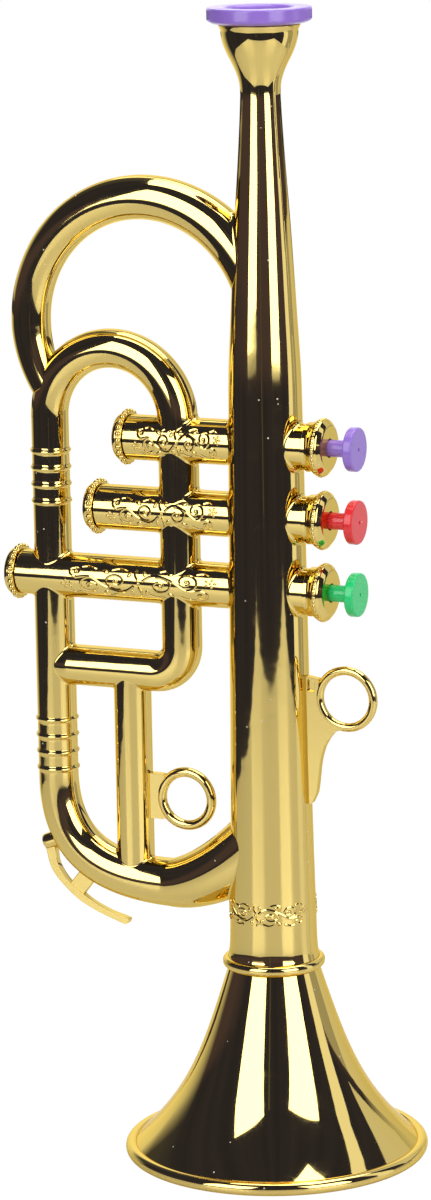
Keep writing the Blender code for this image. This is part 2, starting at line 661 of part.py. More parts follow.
def make_valve_cap(number, height):
    """Bulged cap over a barrel's end, with a hole that guides the stem."""
    skirt_bore, stem_bore = CASING_RADIUS + FIT, STEM_RADIUS + FIT
    skirt_x = BARREL_END - VALVE_CAP_SKIRT
    bulge_x = cap_face_x - VALVE_CAP_DEPTH * VALVE_CAP_BULGE_SHARE
    lip = WALL / 3
    profile = [(stem_bore, cap_face_x), (VALVE_CAP_FACE_RADIUS - lip, cap_face_x),
               (VALVE_CAP_FACE_RADIUS, cap_face_x - lip), (VALVE_CAP_BULGE_RADIUS, bulge_x + lip),
               (VALVE_CAP_BULGE_RADIUS, bulge_x - lip), (skirt_bore + 2 * lip, skirt_x + 2 * lip),
               (skirt_bore + lip, skirt_x), (skirt_bore, skirt_x), (skirt_bore, cap_seat_x),
               (stem_bore, cap_seat_x)]
    cap = turned(f"valve_cap_{number}", profile, VALVE_SIDES, closed=True)
    return finish(along_x(cap, height), gold)


def make_valve_button(number, height, colour):
    """Button, stem, spring flange and thin rod in one moulding, on the valve's axis."""
    face = button_back_x + BUTTON_THICKNESS
    flat = BUTTON_RADIUS - BUTTON_ROUNDING
    flange = CASING_RADIUS - WALL - FLANGE_GAP
    rod_end = -(block_half + FIT + PAD_THICKNESS + ROD_TAIL)
    profile = [(0, face), (flat, face), (BUTTON_RADIUS, face - BUTTON_ROUNDING),
               (BUTTON_RADIUS, button_back_x + BUTTON_ROUNDING), (flat, button_back_x),
               (STEM_RADIUS, button_back_x), (STEM_RADIUS, BARREL_END), (flange, BARREL_END),
               (flange, flange_x), (ROD_RADIUS, flange_x), (ROD_RADIUS, rod_end), (0, rod_end)]
    return finish(along_x(turned(f"valve_button_{number}", profile, VALVE_SIDES), height), colour)


def make_valve_pad(number, height):
    """Rubber washer on the end of a rod, seated on the reed block's left face."""
    seat = -(block_half + FIT)
    bore, back = ROD_RADIUS + FIT, seat - PAD_THICKNESS
    profile = [(bore, seat), (PAD_RADIUS, seat), (PAD_RADIUS, back), (bore, back)]
    pad = turned(f"valve_pad_{number}", profile, VALVE_SIDES, closed=True)
    return finish(along_x(pad, height), rubber)


def make_return_spring(number, height):
    """Steel coil round the rod, from the reed block to the stem's flange."""
    start = block_half + FIT + SPRING_WIRE_RADIUS
    end = flange_x - FIT - SPRING_WIRE_RADIUS
    steps = SPRING_TURNS * SPRING_POINTS_PER_TURN
    points = []
    for step in range(steps + 1):
        angle = 2 * math.pi * step / SPRING_POINTS_PER_TURN
        points.append((start + (end - start) * step / steps, SPRING_RADIUS * math.cos(angle),
                       height + SPRING_RADIUS * math.sin(angle)))
    spring = tube(f"return_spring_{number}", points, [SPRING_WIRE_RADIUS] * len(points), 0)
    return finish(spring, steel)


def make_reed_block():
    """Block across the main tube: air holes from the left, reed pockets on the right."""
    top_radius = tube_radius(block_high_z + BLOCK_DISC) - WALL - FIT
    low_radius = tube_radius(block_low_z) - WALL - FIT
    half_depth = math.sqrt(top_radius ** 2 - block_half ** 2)
    block = box("reed_block", (-block_half, -half_depth, block_low_z), (block_half, half_depth, block_high_z))
    discs = [cylinder("block_top", top_radius, (0, 0, block_high_z - FIT), (0, 0, block_high_z + BLOCK_DISC),
                      TUBE_SIDES),
             cylinder("block_bottom", low_radius, (0, 0, block_low_z - BLOCK_DISC), (0, 0, block_low_z + FIT),
                      TUBE_SIDES)]
    combine(block, discs, "UNION")
    far = 2 * low_radius
    above = block_high_z + 2 * BLOCK_DISC
    below = block_low_z - 2 * BLOCK_DISC
    windows = [box("wind_window", (-far, -far, block_high_z - 2 * FIT), (-block_half - FIT, far, above)),
               box("sound_window", (block_half + FIT, -far, below), (far, far, block_low_z + 2 * FIT))]
    combine(block, windows, "DIFFERENCE")
    for number, height in enumerate(valve_heights, 1):
        guide = cylinder(f"guide_{number}", ROD_RADIUS + FIT, (-far, 0, height), (far, 0, height), VALVE_SIDES)
        hole = cylinder(f"air_hole_{number}", AIR_HOLE_RADIUS, (-far, 0, height),
                        (AIR_HOLE_DEPTH - block_half, 0, height), VALVE_SIDES)
        low, top = height - REED_SLOT_TOP - REED_SLOT_LENGTH, height - REED_SLOT_TOP + AIR_HOLE_RADIUS
        pocket = box(f"pocket_{number}", (-block_half / 3, -REED_SLOT_WIDTH / 2, low),
                     (far, REED_SLOT_WIDTH / 2, top))
        combine(block, [guide, hole, pocket], "DIFFERENCE")
    return finish(block, ivory)


def make_reed_plate():
    """Brass plate on the block's right face, open round the springs and over the pockets."""
    near = block_half + FIT
    half = REED_PLATE_WIDTH / 2
    plate = box("reed_plate", (near, -half, block_low_z + REED_PLATE_MARGIN),
                (near + REED_PLATE_THICKNESS, half, block_high_z - REED_PLATE_MARGIN))
    for number, height in enumerate(valve_heights, 1):
        top = height - REED_SLOT_TOP
        hole = cylinder(f"spring_seat_{number}", SPRING_SEAT_RADIUS, (0, 0, height),
                        (4 * near, 0, height), VALVE_SIDES)
        slot = box(f"reed_slot_{number}", (0, -REED_SLOT_WIDTH / 2, top - REED_SLOT_LENGTH),
                   (4 * near, REED_SLOT_WIDTH / 2, top))
        combine(plate, [hole, slot], "DIFFERENCE")
    return finish(plate, brass)


def make_reed(number, height):
    """Brass tongue over one slot, its foot on the plate below the slot."""
    near = block_half + 2 * FIT + REED_PLATE_THICKNESS
    top = height - REED_SLOT_TOP - FIT
    low = height - REED_SLOT_TOP - REED_SLOT_LENGTH - REED_FOOT
    reed = box(f"reed_{number}", (near, -REED_WIDTH / 2, low), (near + REED_THICKNESS, REED_WIDTH / 2, top))
    return finish(reed, brass)


def make_body_screw(number, x, z):
    """Self tapping screw with a round cross head, put in from the back."""
    seat = PARTING_Y + SCREW_GRIP
    profile = [(0, SCREW_HEAD_HEIGHT), (SCREW_HEAD_FLAT, SCREW_HEAD_HEIGHT),
               (SCREW_HEAD_RADIUS, SCREW_HEAD_HEIGHT / 2), (SCREW_HEAD_RADIUS, 0), (SCREW_RADIUS, 0),
               (SCREW_RADIUS, SCREW_RADIUS - SCREW_LENGTH), (0, -SCREW_LENGTH)]
    screw = turned(f"body_screw_{number}", profile, SCREW_SIDES)
    slot, depth, arm = SCREW_RADIUS / 5, SCREW_HEAD_HEIGHT / 2, SCREW_RADIUS
    above = 2 * SCREW_HEAD_HEIGHT
    cross = box(f"cross_{number}", (-arm, -slot, depth), (arm, slot, above))
    combine(cross, [box(f"cross_bar_{number}", (-slot, -arm, depth), (slot, arm, above))], "UNION")
    combine(screw, [cross], "DIFFERENCE")
    screw.rotation_euler = (-math.pi / 2, 0, 0)
    screw.location = (x, seat, z)
    return finish(screw, steel)


carrier = start_scene()
gold = material("gold_plating", GOLD, 0.12, 1.0)
steel = material("spring_steel", STEEL, 0.35, 1.0)
brass = material("reed_brass", BRASS, 0.35, 1.0)
ivory = material("block_plastic", IVORY, 0.55, 0.0)
rubber = material("pad_rubber", RUBBER, 0.8, 0.0)
purple = material("purple_plastic", PURPLE, 0.3, 0.0)
red = material("red_plastic", RED, 0.3, 0.0)
green = material("green_plastic", GREEN, 0.3, 0.0)

# Heights and places that several pieces share
cup_top_z = LENGTH - RIM_THICKNESS - FIT
foot_z = BELL_HEIGHT + FIT
tube_table = [(foot_z, TUBE_LOWER[0][1]), *TUBE_LOWER]
tube_table += [(LENGTH - depth, radius) for depth, radius in TUBE_UPPER + CUP]
tube_table.append((cup_top_z, CUP_TOP_RADIUS))
screw_places = [(0, z, tube_radius(z)) for z in MAIN_SCREW_Z]
screw_places += [(LOOP_CENTRE[0], LOOP_CENTRE[1] + LOOP_RADIUS, LOOP_TUBE_RADIUS),
                 (SIDE_X, SIDE_SCREW_Z, SIDE_TUBE_RADIUS), (*BEND_LOW, BEND_LOW_RADIUS)]

# Places along the valves, from the barrel's end outwards and inwards
cap_seat_x = BARREL_END + FIT
cap_face_x = cap_seat_x + VALVE_CAP_DEPTH
button_back_x = cap_face_x + STEM_EXPOSED
flange_x = BARREL_END - FLANGE_THICKNESS
block_half = BLOCK_WIDTH / 2
block_low_z = valve_heights[-1] - BLOCK_MARGIN
block_high_z = valve_heights[0] + BLOCK_MARGIN

# Body shells
body = hollow_body()
add_screw_bosses(body)
front_shell = half_of(body, "body_front_shell", True)
back_shell = half_of(body, "body_back_shell", False)
bpy.data.objects.remove(body, do_unlink=True)
make_finger_hook(back_shell)
make_slide_ring(back_shell)
make_water_key(back_shell)
finish(front_shell, gold)
finish(back_shell, gold)
for number, (x, z, radius) in enumerate(screw_places, 1):
    make_body_screw(number, x, z)

# Mouthpiece, bell and collar
make_mouthpiece_rim()
make_bell()
make_bell_collar()

# Valves, the reed block and what works on it
make_reed_block()
make_reed_plate()
for number, (height, end, colour) in enumerate(zip(valve_heights, CASING_ENDS, (purple, red, green)), 1):
    make_casing_cap(number, height, end)
    make_valve_cap(number, height)
    make_valve_button(number, height, colour)
    make_valve_pad(number, height)
    make_return_spring(number, height)
    make_reed(number, height)
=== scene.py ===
from math import cos, pi, radians, sin

import bmesh
import bpy
import numpy as np
from mathutils import Matrix, Vector, geometry


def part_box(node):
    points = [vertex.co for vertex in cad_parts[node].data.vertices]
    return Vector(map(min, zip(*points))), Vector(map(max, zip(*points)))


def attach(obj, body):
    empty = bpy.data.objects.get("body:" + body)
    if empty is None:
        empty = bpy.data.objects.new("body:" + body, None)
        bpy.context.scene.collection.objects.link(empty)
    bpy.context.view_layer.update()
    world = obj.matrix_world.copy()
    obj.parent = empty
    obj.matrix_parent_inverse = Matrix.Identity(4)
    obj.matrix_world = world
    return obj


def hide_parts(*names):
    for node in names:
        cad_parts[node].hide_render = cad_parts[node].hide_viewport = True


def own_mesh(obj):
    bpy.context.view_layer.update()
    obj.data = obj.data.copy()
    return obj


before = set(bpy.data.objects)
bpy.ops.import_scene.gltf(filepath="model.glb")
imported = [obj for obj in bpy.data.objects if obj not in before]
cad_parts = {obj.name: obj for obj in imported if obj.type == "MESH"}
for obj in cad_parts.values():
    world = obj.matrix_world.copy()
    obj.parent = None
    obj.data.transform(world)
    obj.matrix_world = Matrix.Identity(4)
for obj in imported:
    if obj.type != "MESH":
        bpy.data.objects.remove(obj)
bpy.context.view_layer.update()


# Camera
# It stands 1.39 m from the main tube, 24 degrees round to the button side and a little above the
# mouthpiece, and looks down at the middle of the trumpet.
CAMERA_AZIMUTH = radians(24)
CAMERA_DISTANCE = 1.3875
CAMERA_HEIGHT = 0.46694
CAMERA_TURN = radians(24.694)
CAMERA_TILT = radians(90 - 11.575)
CAMERA_ROLL = radians(-1.043)
CAMERA_VIEW_HEIGHT = radians(15.342)
axis_x = (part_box("bell")[0].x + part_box("bell")[1].x) / 2
to_camera = Vector((sin(CAMERA_AZIMUTH), -cos(CAMERA_AZIMUTH), 0))
to_right = Vector((cos(CAMERA_AZIMUTH), sin(CAMERA_AZIMUTH), 0))


def in_scene(name, data):
    """A new object in the scene."""
    thing = bpy.data.objects.new(name, data)
    bpy.context.scene.collection.objects.link(thing)
    return thing


camera = in_scene("camera", bpy.data.cameras.new("camera"))
camera.data.sensor_fit = "VERTICAL"
camera.data.angle = CAMERA_VIEW_HEIGHT
camera.matrix_world = (
    Matrix.Translation(to_camera * CAMERA_DISTANCE + Vector((axis_x, 0, CAMERA_HEIGHT)))
    @ Matrix.Rotation(CAMERA_TURN, 4, "Z") @ Matrix.Rotation(CAMERA_TILT, 4, "X")
    @ Matrix.Rotation(CAMERA_ROLL, 4, "Z"))
bpy.context.scene.camera = camera
bpy.context.scene.view_settings.view_transform = "Standard"


# Studio
# A pale table and a pale wall behind, a dark room in front, and what the gold mirrors: a tall soft light
# with a dim skirt on each side of the camera, one overhead, a doorway, a cupboard and lit walls.
TABLE_CORNERS = ((-0.575, 0.8), (0.74, 0.755), (0.6, -0.6), (-0.36, -0.27), (-0.5, -0.2), (-0.59, 0.0))
TABLE_COLOUR, TABLE_SHADOW = (0.56, 0.55, 0.515, 1), (0.1, 0.1, 0.1, 1)
TABLE_SEEN, TABLE_MIRRORED = 0.97, 0.22
LIGHT_DISTANCE = 1.3
# The upright panels: brightness, and corners by bearing from the camera in degrees and by height
UPRIGHTS = {
    "soft_light_left": (3.6, ((-56, 0.2), (-56, 1.55), (-17, 1.29), (-20, 0.4), (-26, 0.245))),
    "left_skirt": (0.42, ((-55, 0.14), (-55, 0.2), (-27, 0.243), (-27, 0.175))),
    "soft_light_right": (3.6, ((22, 0.19), (24, 0.39), (17, 1.17), (57, 1.2), (57, 0.39), (49, 0.18))),
    "right_skirt": (0.42, ((23, 0.14), (23, 0.19), (48, 0.18), (48, 0.13))),
    "doorway": (1.05, ((78, -0.5), (80, 0.9), (106, 2.6), (124, 2.6), (95, 0.9), (95, -0.5))),
    "cupboard": (0.42, ((95, -0.5), (95, 0.245), (119, 0.237), (119, -0.5))),
    "side_wall": (0.78, ((119, -0.5), (119, 0.237), (155, 0.232), (155, -0.5))),
    "high_wall": (0.75, ((112, 0.34), (136, 2.6), (158, 2.6), (140, 0.34))),
    "lamp_stand": (0.1, ((-11, 0.0), (-11, 1.2), (-9, 1.2), (-9, 0.0)))}
TOP_LIGHT_HEIGHT = 1.2
TOP_LIGHT_CORNERS = ((-0.37, -0.2), (-0.37, 0.75), (0.53, 0.75), (0.53, -0.2))
# The room by how squarely one faces the wall or the left, and how steeply one looks up or down
WALL_MIDDLE, WALL_SPREAD, WALL_BRIGHTNESS = radians(185), (0.55, 0.72), (0.5, 1.25)
WALL_TOP, ABOVE_WALL = (0.8, 0.55), 0.05
LEFT_SPREAD, LEFT_DROP = (0.25, 0.65), 0.42
RAIL_MIDDLE, RAIL_REACH = -0.082, (0.024, 0.034)
ROOM_COLOURS = ((0.016, 0.017, 0.038, 1), (0.044, 0.042, 0.092, 1))
FAR_ROOM_COLOUR, FAR_ROOM_MIDDLE, FAR_ROOM_REACH = (0.07, 0.052, 0.095, 1), 0.05, (0.18, 0.08)
WHITE = (1, 1, 1, 1)


def meshed(shape, name):
    """A mesh out of a shape, which is used up."""
    mesh = bpy.data.meshes.new(name)
    shape.to_mesh(mesh)
    shape.free()
    return mesh


def studio_panel(name, corners, panel_material):
    """One flat panel of the studio through its corners."""
    shape = bmesh.new()
    shape.faces.new([shape.verts.new(corner) for corner in corners])
    mesh = meshed(shape, name)
    mesh.materials.append(panel_material)
    panel = in_scene(name, mesh)
    return panel


def around_axis(right, front, height):
    """A point of the studio, from the main tube as the camera sees it."""
    return Vector((axis_x, 0, height)) + to_right * right + to_camera * front


def new_material(name):
    """A fresh material and its tree of nodes."""
    made = bpy.data.materials.new(name)
    made.use_nodes = True
    return made, made.node_tree


def feed(tree, node, inputs):
    """Give a node's inputs values or the outputs of other nodes."""
    for name, given in inputs.items():
        if isinstance(given, bpy.types.NodeSocket):
            tree.links.new(given, node.inputs[name])
        else:
            node.inputs[name].default_value = given


def add_node(tree, kind, inputs, **options):
    """A new node with its options set and its inputs fed."""
    node = tree.nodes.new(f"ShaderNode{kind}")
    for option, value in options.items():
        setattr(node, option, value)
    feed(tree, node, inputs)
    return node


def worked_out(tree, operation, *values):
    """The result of a sum."""
    return add_node(tree, "Math", dict(enumerate(values)), operation=operation).outputs[0]


def ranged(tree, value, span, low=0, high=1):
    """A value that goes from low to high as another crosses a span."""
    return add_node(tree, "MapRange", {"Value": value, "From Min": span[0], "From Max": span[1],
                                       "To Min": low, "To Max": high}).outputs[0]


def mixed(tree, share, first, second):
    """A mix of two colours."""
    mix = add_node(tree, "Mix", {"Factor": share, "A": first, "B": second}, data_type="RGBA")
    return mix.outputs["Result"]


table_finish, tree = new_material("table_finish")
satin = tree.nodes["Principled BSDF"]
feed(tree, satin, {"Base Color": TABLE_COLOUR, "Roughness": 0.3})
faint = add_node(tree, "BsdfDiffuse", {"Color": TABLE_SHADOW})
ray = add_node(tree, "LightPath", {}).outputs
pick = add_node(tree, "MixShader", {0: ray["Is Camera Ray"], 1: satin.outputs[0], 2: faint.outputs[0]})
mirrored = worked_out(tree, "MULTIPLY", ray["Is Glossy Ray"], TABLE_MIRRORED)
brightness = worked_out(tree, "MULTIPLY_ADD", ray["Is Camera Ray"], TABLE_SEEN, mirrored)
white = add_node(tree, "Emission", {"Strength": brightness})
seen = add_node(tree, "AddShader", {0: pick.outputs[0], 1: white.outputs[0]})
feed(tree, tree.nodes["Material Output"], {"Surface": seen.outputs[0]})
studio_panel("table", [around_axis(right, front, 0) for right, front in TABLE_CORNERS], table_finish)


def glowing_panel(name, corners, strength):
    """A lamp, or a lit part of the room, that only the trumpet sees."""
    face, tree = new_material(f"{name}_face")
    glow = add_node(tree, "Emission", {"Strength": strength})
    feed(tree, tree.nodes["Material Output"], {"Surface": glow.outputs[0]})
    studio_panel(name, corners, face).visible_camera = False


for name, (strength, outline) in UPRIGHTS.items():
    corners = []
    for bearing, height in outline:
        foot = [LIGHT_DISTANCE * turn(radians(bearing)) for turn in (sin, cos)]
        corners.append(around_axis(*foot, height))
    glowing_panel(name, corners, strength)
corners = [(axis_x + x, y, TOP_LIGHT_HEIGHT) for x, y in TOP_LIGHT_CORNERS]
glowing_panel("top_light", corners, strength=3.6)

room = bpy.data.worlds.new("room")
room.use_nodes = True
bpy.context.scene.world = room
tree = room.node_tree
direction = add_node(tree, "TexCoord", {}).outputs["Generated"]
climb = add_node(tree, "SeparateXYZ", {0: direction}).outputs["Z"]
level = add_node(tree, "VectorMath", {0: direction, 1: (1, 1, 0)}, operation="MULTIPLY").outputs[0]
heading = add_node(tree, "VectorMath", {0: level}, operation="NORMALIZE").outputs[0]


def facing(way):
    """How squarely one faces a way along the ground."""
    return add_node(tree, "VectorMath", {0: heading, 1: way}, operation="DOT_PRODUCT").outputs["Value"]


def away_from(middle):
    """How far one looks up or down from a slope."""
    return worked_out(tree, "ABSOLUTE", worked_out(tree, "SUBTRACT", climb, middle))


to_wall = facing(to_camera * cos(WALL_MIDDLE) + to_right * sin(WALL_MIDDLE))
drop = ranged(tree, facing(-to_right), LEFT_SPREAD, high=LEFT_DROP)
below_top = ranged(tree, worked_out(tree, "ADD", climb, drop), WALL_TOP, low=ABOVE_WALL)
off_rail = ranged(tree, away_from(RAIL_MIDDLE), RAIL_REACH)
wall = worked_out(tree, "MULTIPLY", ranged(tree, to_wall, WALL_SPREAD),
                  worked_out(tree, "MULTIPLY", below_top, off_rail))
wall_light = ranged(tree, to_wall, (WALL_SPREAD[1], 1), *WALL_BRIGHTNESS)
clutter = add_node(tree, "TexNoise", {"Vector": heading, "Scale": 5, "Detail": 3})
shades = mixed(tree, clutter.outputs["Fac"], *ROOM_COLOURS)
dark_room = mixed(tree, ranged(tree, away_from(FAR_ROOM_MIDDLE), FAR_ROOM_REACH), shades, FAR_ROOM_COLOUR)
around = mixed(tree, wall, dark_room, wall_light)
seen = add_node(tree, "LightPath", {}).outputs["Is Camera Ray"]
feed(tree, tree.nodes["Background"], {"Color": mixed(tree, seen, around, WHITE), "Strength": 1})


# Body halves
# The front and the back moulding of hollow plastic tubes, plated in mirror gold: cup, main tube,
# loops, struts and valve casings. They meet at a seam a little in front of the main plane.
GOLD, GOLD_GRAZING, GOLD_DUST = (0.8, 0.618, 0.208, 1), (0.88, 0.74, 0.4, 1), (0.78, 0.74, 0.62, 1)
SMEAR_EDGE, RIPPLE_DEPTH = (0.52, 0.75), 0.001
SPECK_EDGE, SPECK_ROUGHNESS = (0.12, 0.07), 0.5
MERGE_DISTANCE, CUT_DISTANCE, TINY = 1e-7, 1e-8, 1e-16
WALL = 0.0015
SEAM_Y, SEAM_GAP, SEAM_ROUNDING = -0.0025, 0.00016, 0.00014
SCREW_SEAT_Y, SCREW_SINK_DEPTH, SCREW_SINK_RADIUS = 0.0025, 0.0003, 0.0024
SCREW_PLACES = ((0, 0.134), (0, 0.268), (-0.0416, 0.309), (-0.0761, 0.1713), (-0.036, 0.0863))
# The main tube's heights and radii from its foot to the cup, and the section of the cup's lip
MAIN_TUBE = (
    (0.0623, 0.01415), (0.071, 0.01408), (0.076, 0.014), (0.106, 0.01335), (0.17, 0.0126), (0.24, 0.0118),
    (0.256, 0.0115), (0.27, 0.01075), (0.302, 0.00885), (0.329, 0.007), (0.34, 0.00642),
    (0.3447, 0.0063), (0.347, 0.0066), (0.349, 0.0072), (0.3523, 0.0086), (0.3557, 0.0104), (0.359, 0.0116),
    (0.3615, 0.0121), (0.3647, 0.0121))
CUP_LIP = (
    (0.0121, 0.3626), (0.01215, 0.3629), (0.01245, 0.3635), (0.0128, 0.3643), (0.01285, 0.3645),
    (0.0127, 0.3647))
BORE_STRIDE = 12
FOOT_HEIGHT, FOOT_FLARE, FOOT_FLARE_LENGTH, FOOT_RADIUS = 0.065, 0.0011, 0.0022, 0.015
LOOP_SIDES, LOOP_STEP, LOOP_POINTS, LOOP_END_POINTS = 56, 0.0009, 170, 25
LOOP_CENTRE, LOOP_RADIUS, LOOP_ROOT_RISE = (-0.0416, 0.2687), 0.0403, 0.0013
LOOP_ANGLES, LOOP_TAPER_ANGLE = (17, 211), 160
LOOP_ROOT_RADIUS, LOOP_TUBE_RADIUS, LOOP_END_RADIUS = 0.0078, 0.0064, 0.0058
SIDE_X, INNER_X, STRUT_X = -0.0761, -0.0305, -0.0486
ARCH_Z, CROSS_Z, ELBOW, CROSS_NARROWING = 0.2381, 0.1564, 0.009, 0.006
SIDE_RADIUS, SIDE_FOOT_RADIUS, INNER_RADIUS = 0.0061, 0.0065, 0.0065
CROSS_RADIUS, STRUT_RADIUS = 0.0066, 0.0061
# The lower bend: where it starts, is lowest and ends, with the handles and the points of its two runs
BEND_TOP, BEND_LOW, BEND_END = (SIDE_X, 0.1195), (-0.036, 0.0863), (0.0, 0.1055)
BEND_DROP_HANDLE, BEND_LEFT_HANDLE, BEND_DROP_POINTS = (SIDE_X, 0.0935), (-0.0595, 0.0863), 70
BEND_RIGHT_HANDLE, BEND_RISE_HANDLE, BEND_RISE_POINTS = (-0.025, 0.0863), (-0.009, 0.097), 50
BEND_LOW_RADIUS, BEND_END_RADIUS, STRUT_DEPTH = 0.0079, 0.0128, 0.002
RIB_Z = (0.22685, 0.22135, 0.21585, 0.21035, 0.13835, 0.13285, 0.12735, 0.12185)
RIB_HEIGHT, RIB_HALF_WIDTH, RIB_POINTS, RIB_SHARPNESS = 0.0005, 0.0009, 13, 1.2
VALVE_Z, VALVE_SIDES = (0.2326, 0.2094, 0.1862), 72
CASING_RADIUS, CASING_ENDS = 0.0073, (-0.0468, -0.0577, -0.0867)
CASING_INNER_END, BARREL_END = 0.0086, 0.0169
FILLET_RADIUS, FILLET_STEPS, FILLET_SIDES, FILLET_DEPTH = 0.0011, 6, 72, 1.9
FILLET_HALVINGS, FILLET_PROBE = 40, 1e-5
SHARP_ANGLE = 38


def make_handled_surface():
    """What every piece carries: finger smears, specks of dust and ripples from the mould."""
    group = bpy.data.node_groups.new("handled_surface", "ShaderNodeTree")
    sockets = {"INPUT": ("Roughness", "Smears", "Dust"), "OUTPUT": ("Roughness", "Dust", "Height")}
    for way, names in sockets.items():
        for name in names:
            group.interface.new_socket(name, in_out=way, socket_type="NodeSocketFloat")
    given, put_out = group.nodes.new("NodeGroupInput").outputs, group.nodes.new("NodeGroupOutput")
    place = add_node(group, "TexCoord", {}).outputs["Object"]
    smears = add_node(group, "TexNoise", {"Vector": place, "Scale": 70, "Detail": 4, "Distortion": 1.2})
    ripples = add_node(group, "TexNoise", {"Vector": place, "Scale": 140, "Detail": 1})
    specks = add_node(group, "TexVoronoi", {"Vector": place, "Scale": 380}).outputs
    smeared = ranged(group, smears.outputs["Fac"], SMEAR_EDGE)
    rougher = worked_out(group, "MULTIPLY_ADD", smeared, given["Smears"], given["Roughness"])
    chance = add_node(group, "SeparateColor", {0: specks["Color"]}).outputs[0]
    chosen = worked_out(group, "LESS_THAN", chance, given["Dust"])
    dust = worked_out(group, "MULTIPLY", chosen, ranged(group, specks["Distance"], SPECK_EDGE))
    feed(group, put_out, {"Roughness": worked_out(group, "MULTIPLY_ADD", dust, SPECK_ROUGHNESS, rougher),
                          "Dust": dust, "Height": ripples.outputs["Fac"]})
    return group


def handled(tree, roughness, smears, dust):
    """The handled surface in a material."""
    return add_node(tree, "Group", {"Roughness": roughness, "Smears": smears, "Dust": dust},
                    node_tree=handled_surface).outputs


def bumped(tree, height, strength, distance):
    """Normals that follow a height."""
    return add_node(tree, "Bump", {"Height": height, "Strength": strength, "Distance": distance}).outputs[0]


def gold_plating():
    """Vacuum plated mirror gold with faint smears, dust and ripples."""
    made, tree = new_material("gold_plating")
    surface = handled(tree, roughness=0.045, smears=0.05, dust=0.07)
    feed(tree, tree.nodes["Principled BSDF"], {
        "Base Color": mixed(tree, surface["Dust"], GOLD, GOLD_DUST), "Specular Tint": GOLD_GRAZING,
        "Metallic": worked_out(tree, "SUBTRACT", 1, surface["Dust"]), "Roughness": surface["Roughness"],
        "Normal": bumped(tree, surface["Height"], strength=0.02, distance=RIPPLE_DEPTH)})
    return made


def flowing_radii(table, step, easing):
    """Even heights of a turned profile, and radii that flow through the table."""
    knots, sizes = np.array(table).T
    slopes = np.gradient(sizes, knots)
    heights = np.linspace(knots[0], knots[-1], round((knots[-1] - knots[0]) / step) + 1)
    low = np.clip(np.searchsorted(knots, heights, side="right") - 1, 0, len(knots) - 2)
    width = knots[low + 1] - knots[low]
    t = (heights - knots[low]) / width
    radii = (sizes[low] * (1 + 2 * t) * (1 - t) ** 2 + slopes[low] * width * t * (1 - t) ** 2
             + sizes[low + 1] * t * t * (3 - 2 * t) + slopes[low + 1] * width * t * t * (t - 1))
    for _ in range(easing):
        radii[1:-1] += (radii[2:] - 2 * radii[1:-1] + radii[:-2]) / 4
    return heights, radii


def outward(shape):
    """A shape with its faces turned outwards."""
    bmesh.ops.recalc_face_normals(shape, faces=shape.faces)
    return shape


def turned(profile, sides, along_x_at=None):
    """Spin an outline of (radius, height) points about the main axis or a valve's axis."""
    shape = bmesh.new()
    points = [shape.verts.new((radius, 0, height)) for radius, height in profile]
    outline = [shape.edges.new(pair) for pair in zip(points, points[1:] + points[:1])]
    bmesh.ops.spin(shape, geom=points + outline, cent=(0, 0, 0), axis=(0, 0, 1), angle=2 * pi,
                   steps=sides, use_merge=True)
    bmesh.ops.remove_doubles(shape, verts=shape.verts, dist=MERGE_DISTANCE)
    loose = [edge for edge in shape.edges if not edge.link_faces]
    bmesh.ops.delete(shape, geom=loose, context="EDGES")
    outward(shape)
    if along_x_at is not None:
        bmesh.ops.rotate(shape, verts=shape.verts, cent=(0, 0, 0), matrix=Matrix.Rotation(pi / 2, 3, "Y"))
        bmesh.ops.translate(shape, verts=shape.verts, vec=(0, 0, along_x_at))
    return shape


def unit(rows):
    """Rows of coordinates brought to length one."""
    return rows / np.linalg.norm(rows, axis=1)[:, None]


def swept(path, radii, sides, across=(0, 1, 0)):
    """Wrap a grid round a path as a tube with closed ends; across lies in every ring."""
    path = np.asarray(path, float)
    ahead = unit(np.gradient(path, axis=0))
    across = np.broadcast_to(np.asarray(across, float), path.shape)
    frames = []
    for point, forward, side, radius in zip(path, ahead, across, radii):
        out = np.cross(side, forward)
        out /= np.linalg.norm(out)
        side = np.cross(forward, out)
        turn = Matrix((out * radius, side * radius, forward * radius)).transposed()
        frames.append(Matrix.Translation(point) @ turn.to_4x4())
    shape = bmesh.new()
    bmesh.ops.create_grid(shape, x_segments=len(frames) - 1, y_segments=sides, size=1)
    for vert in shape.verts:
        ring = round((vert.co.x + 1) / 2 * (len(frames) - 1))
        angle = (vert.co.y + 1) * pi
        vert.co = frames[ring] @ Vector((cos(angle), sin(angle), 0))
    bmesh.ops.remove_doubles(shape, verts=shape.verts, dist=MERGE_DISTANCE)
    bmesh.ops.holes_fill(shape, edges=[edge for edge in shape.edges if edge.is_boundary], sides=sides)
    return outward(shape)


def line(start, end):
    """Points of a straight run in the main plane."""
    start, end = Vector(start), Vector(end)
    steps = max(2, round((end - start).length / LOOP_STEP))
    return [tuple(start.lerp(end, step / steps)) for step in range(steps + 1)]


def polar(x, y, reach, angle):
    """The point at a reach and an angle from another."""
    return x + reach * cos(angle), y + reach * sin(angle)


def arc(centre, radius, first, last):
    """Points of a round bend in the main plane, angles in degrees from +X towards +Z."""
    steps = max(2, round(abs(radians(last - first)) * radius / LOOP_STEP))
    angles = np.radians(np.linspace(first, last, steps + 1))
    return [polar(*centre, radius, a) for a in angles]


def bend(first, first_handle, second_handle, second, steps):
    """Points of a free bend in the main plane."""
    knots = [Vector((x, 0, z)) for x, z in (first, first_handle, second_handle, second)]
    return [(point.x, point.z) for point in geometry.interpolate_bezier(*knots, steps + 1)]


def joined(pieces):
    """One path out of runs of (points, first radius, last radius)."""
    path, radii = [], []
    for points, first, last in pieces:
        fresh = 1 if path else 0
        path += [(x, 0, z) for x, z in points[fresh:]]
        radii += list(np.linspace(first, last, len(points))[fresh:])
    return np.array(path), np.array(radii)


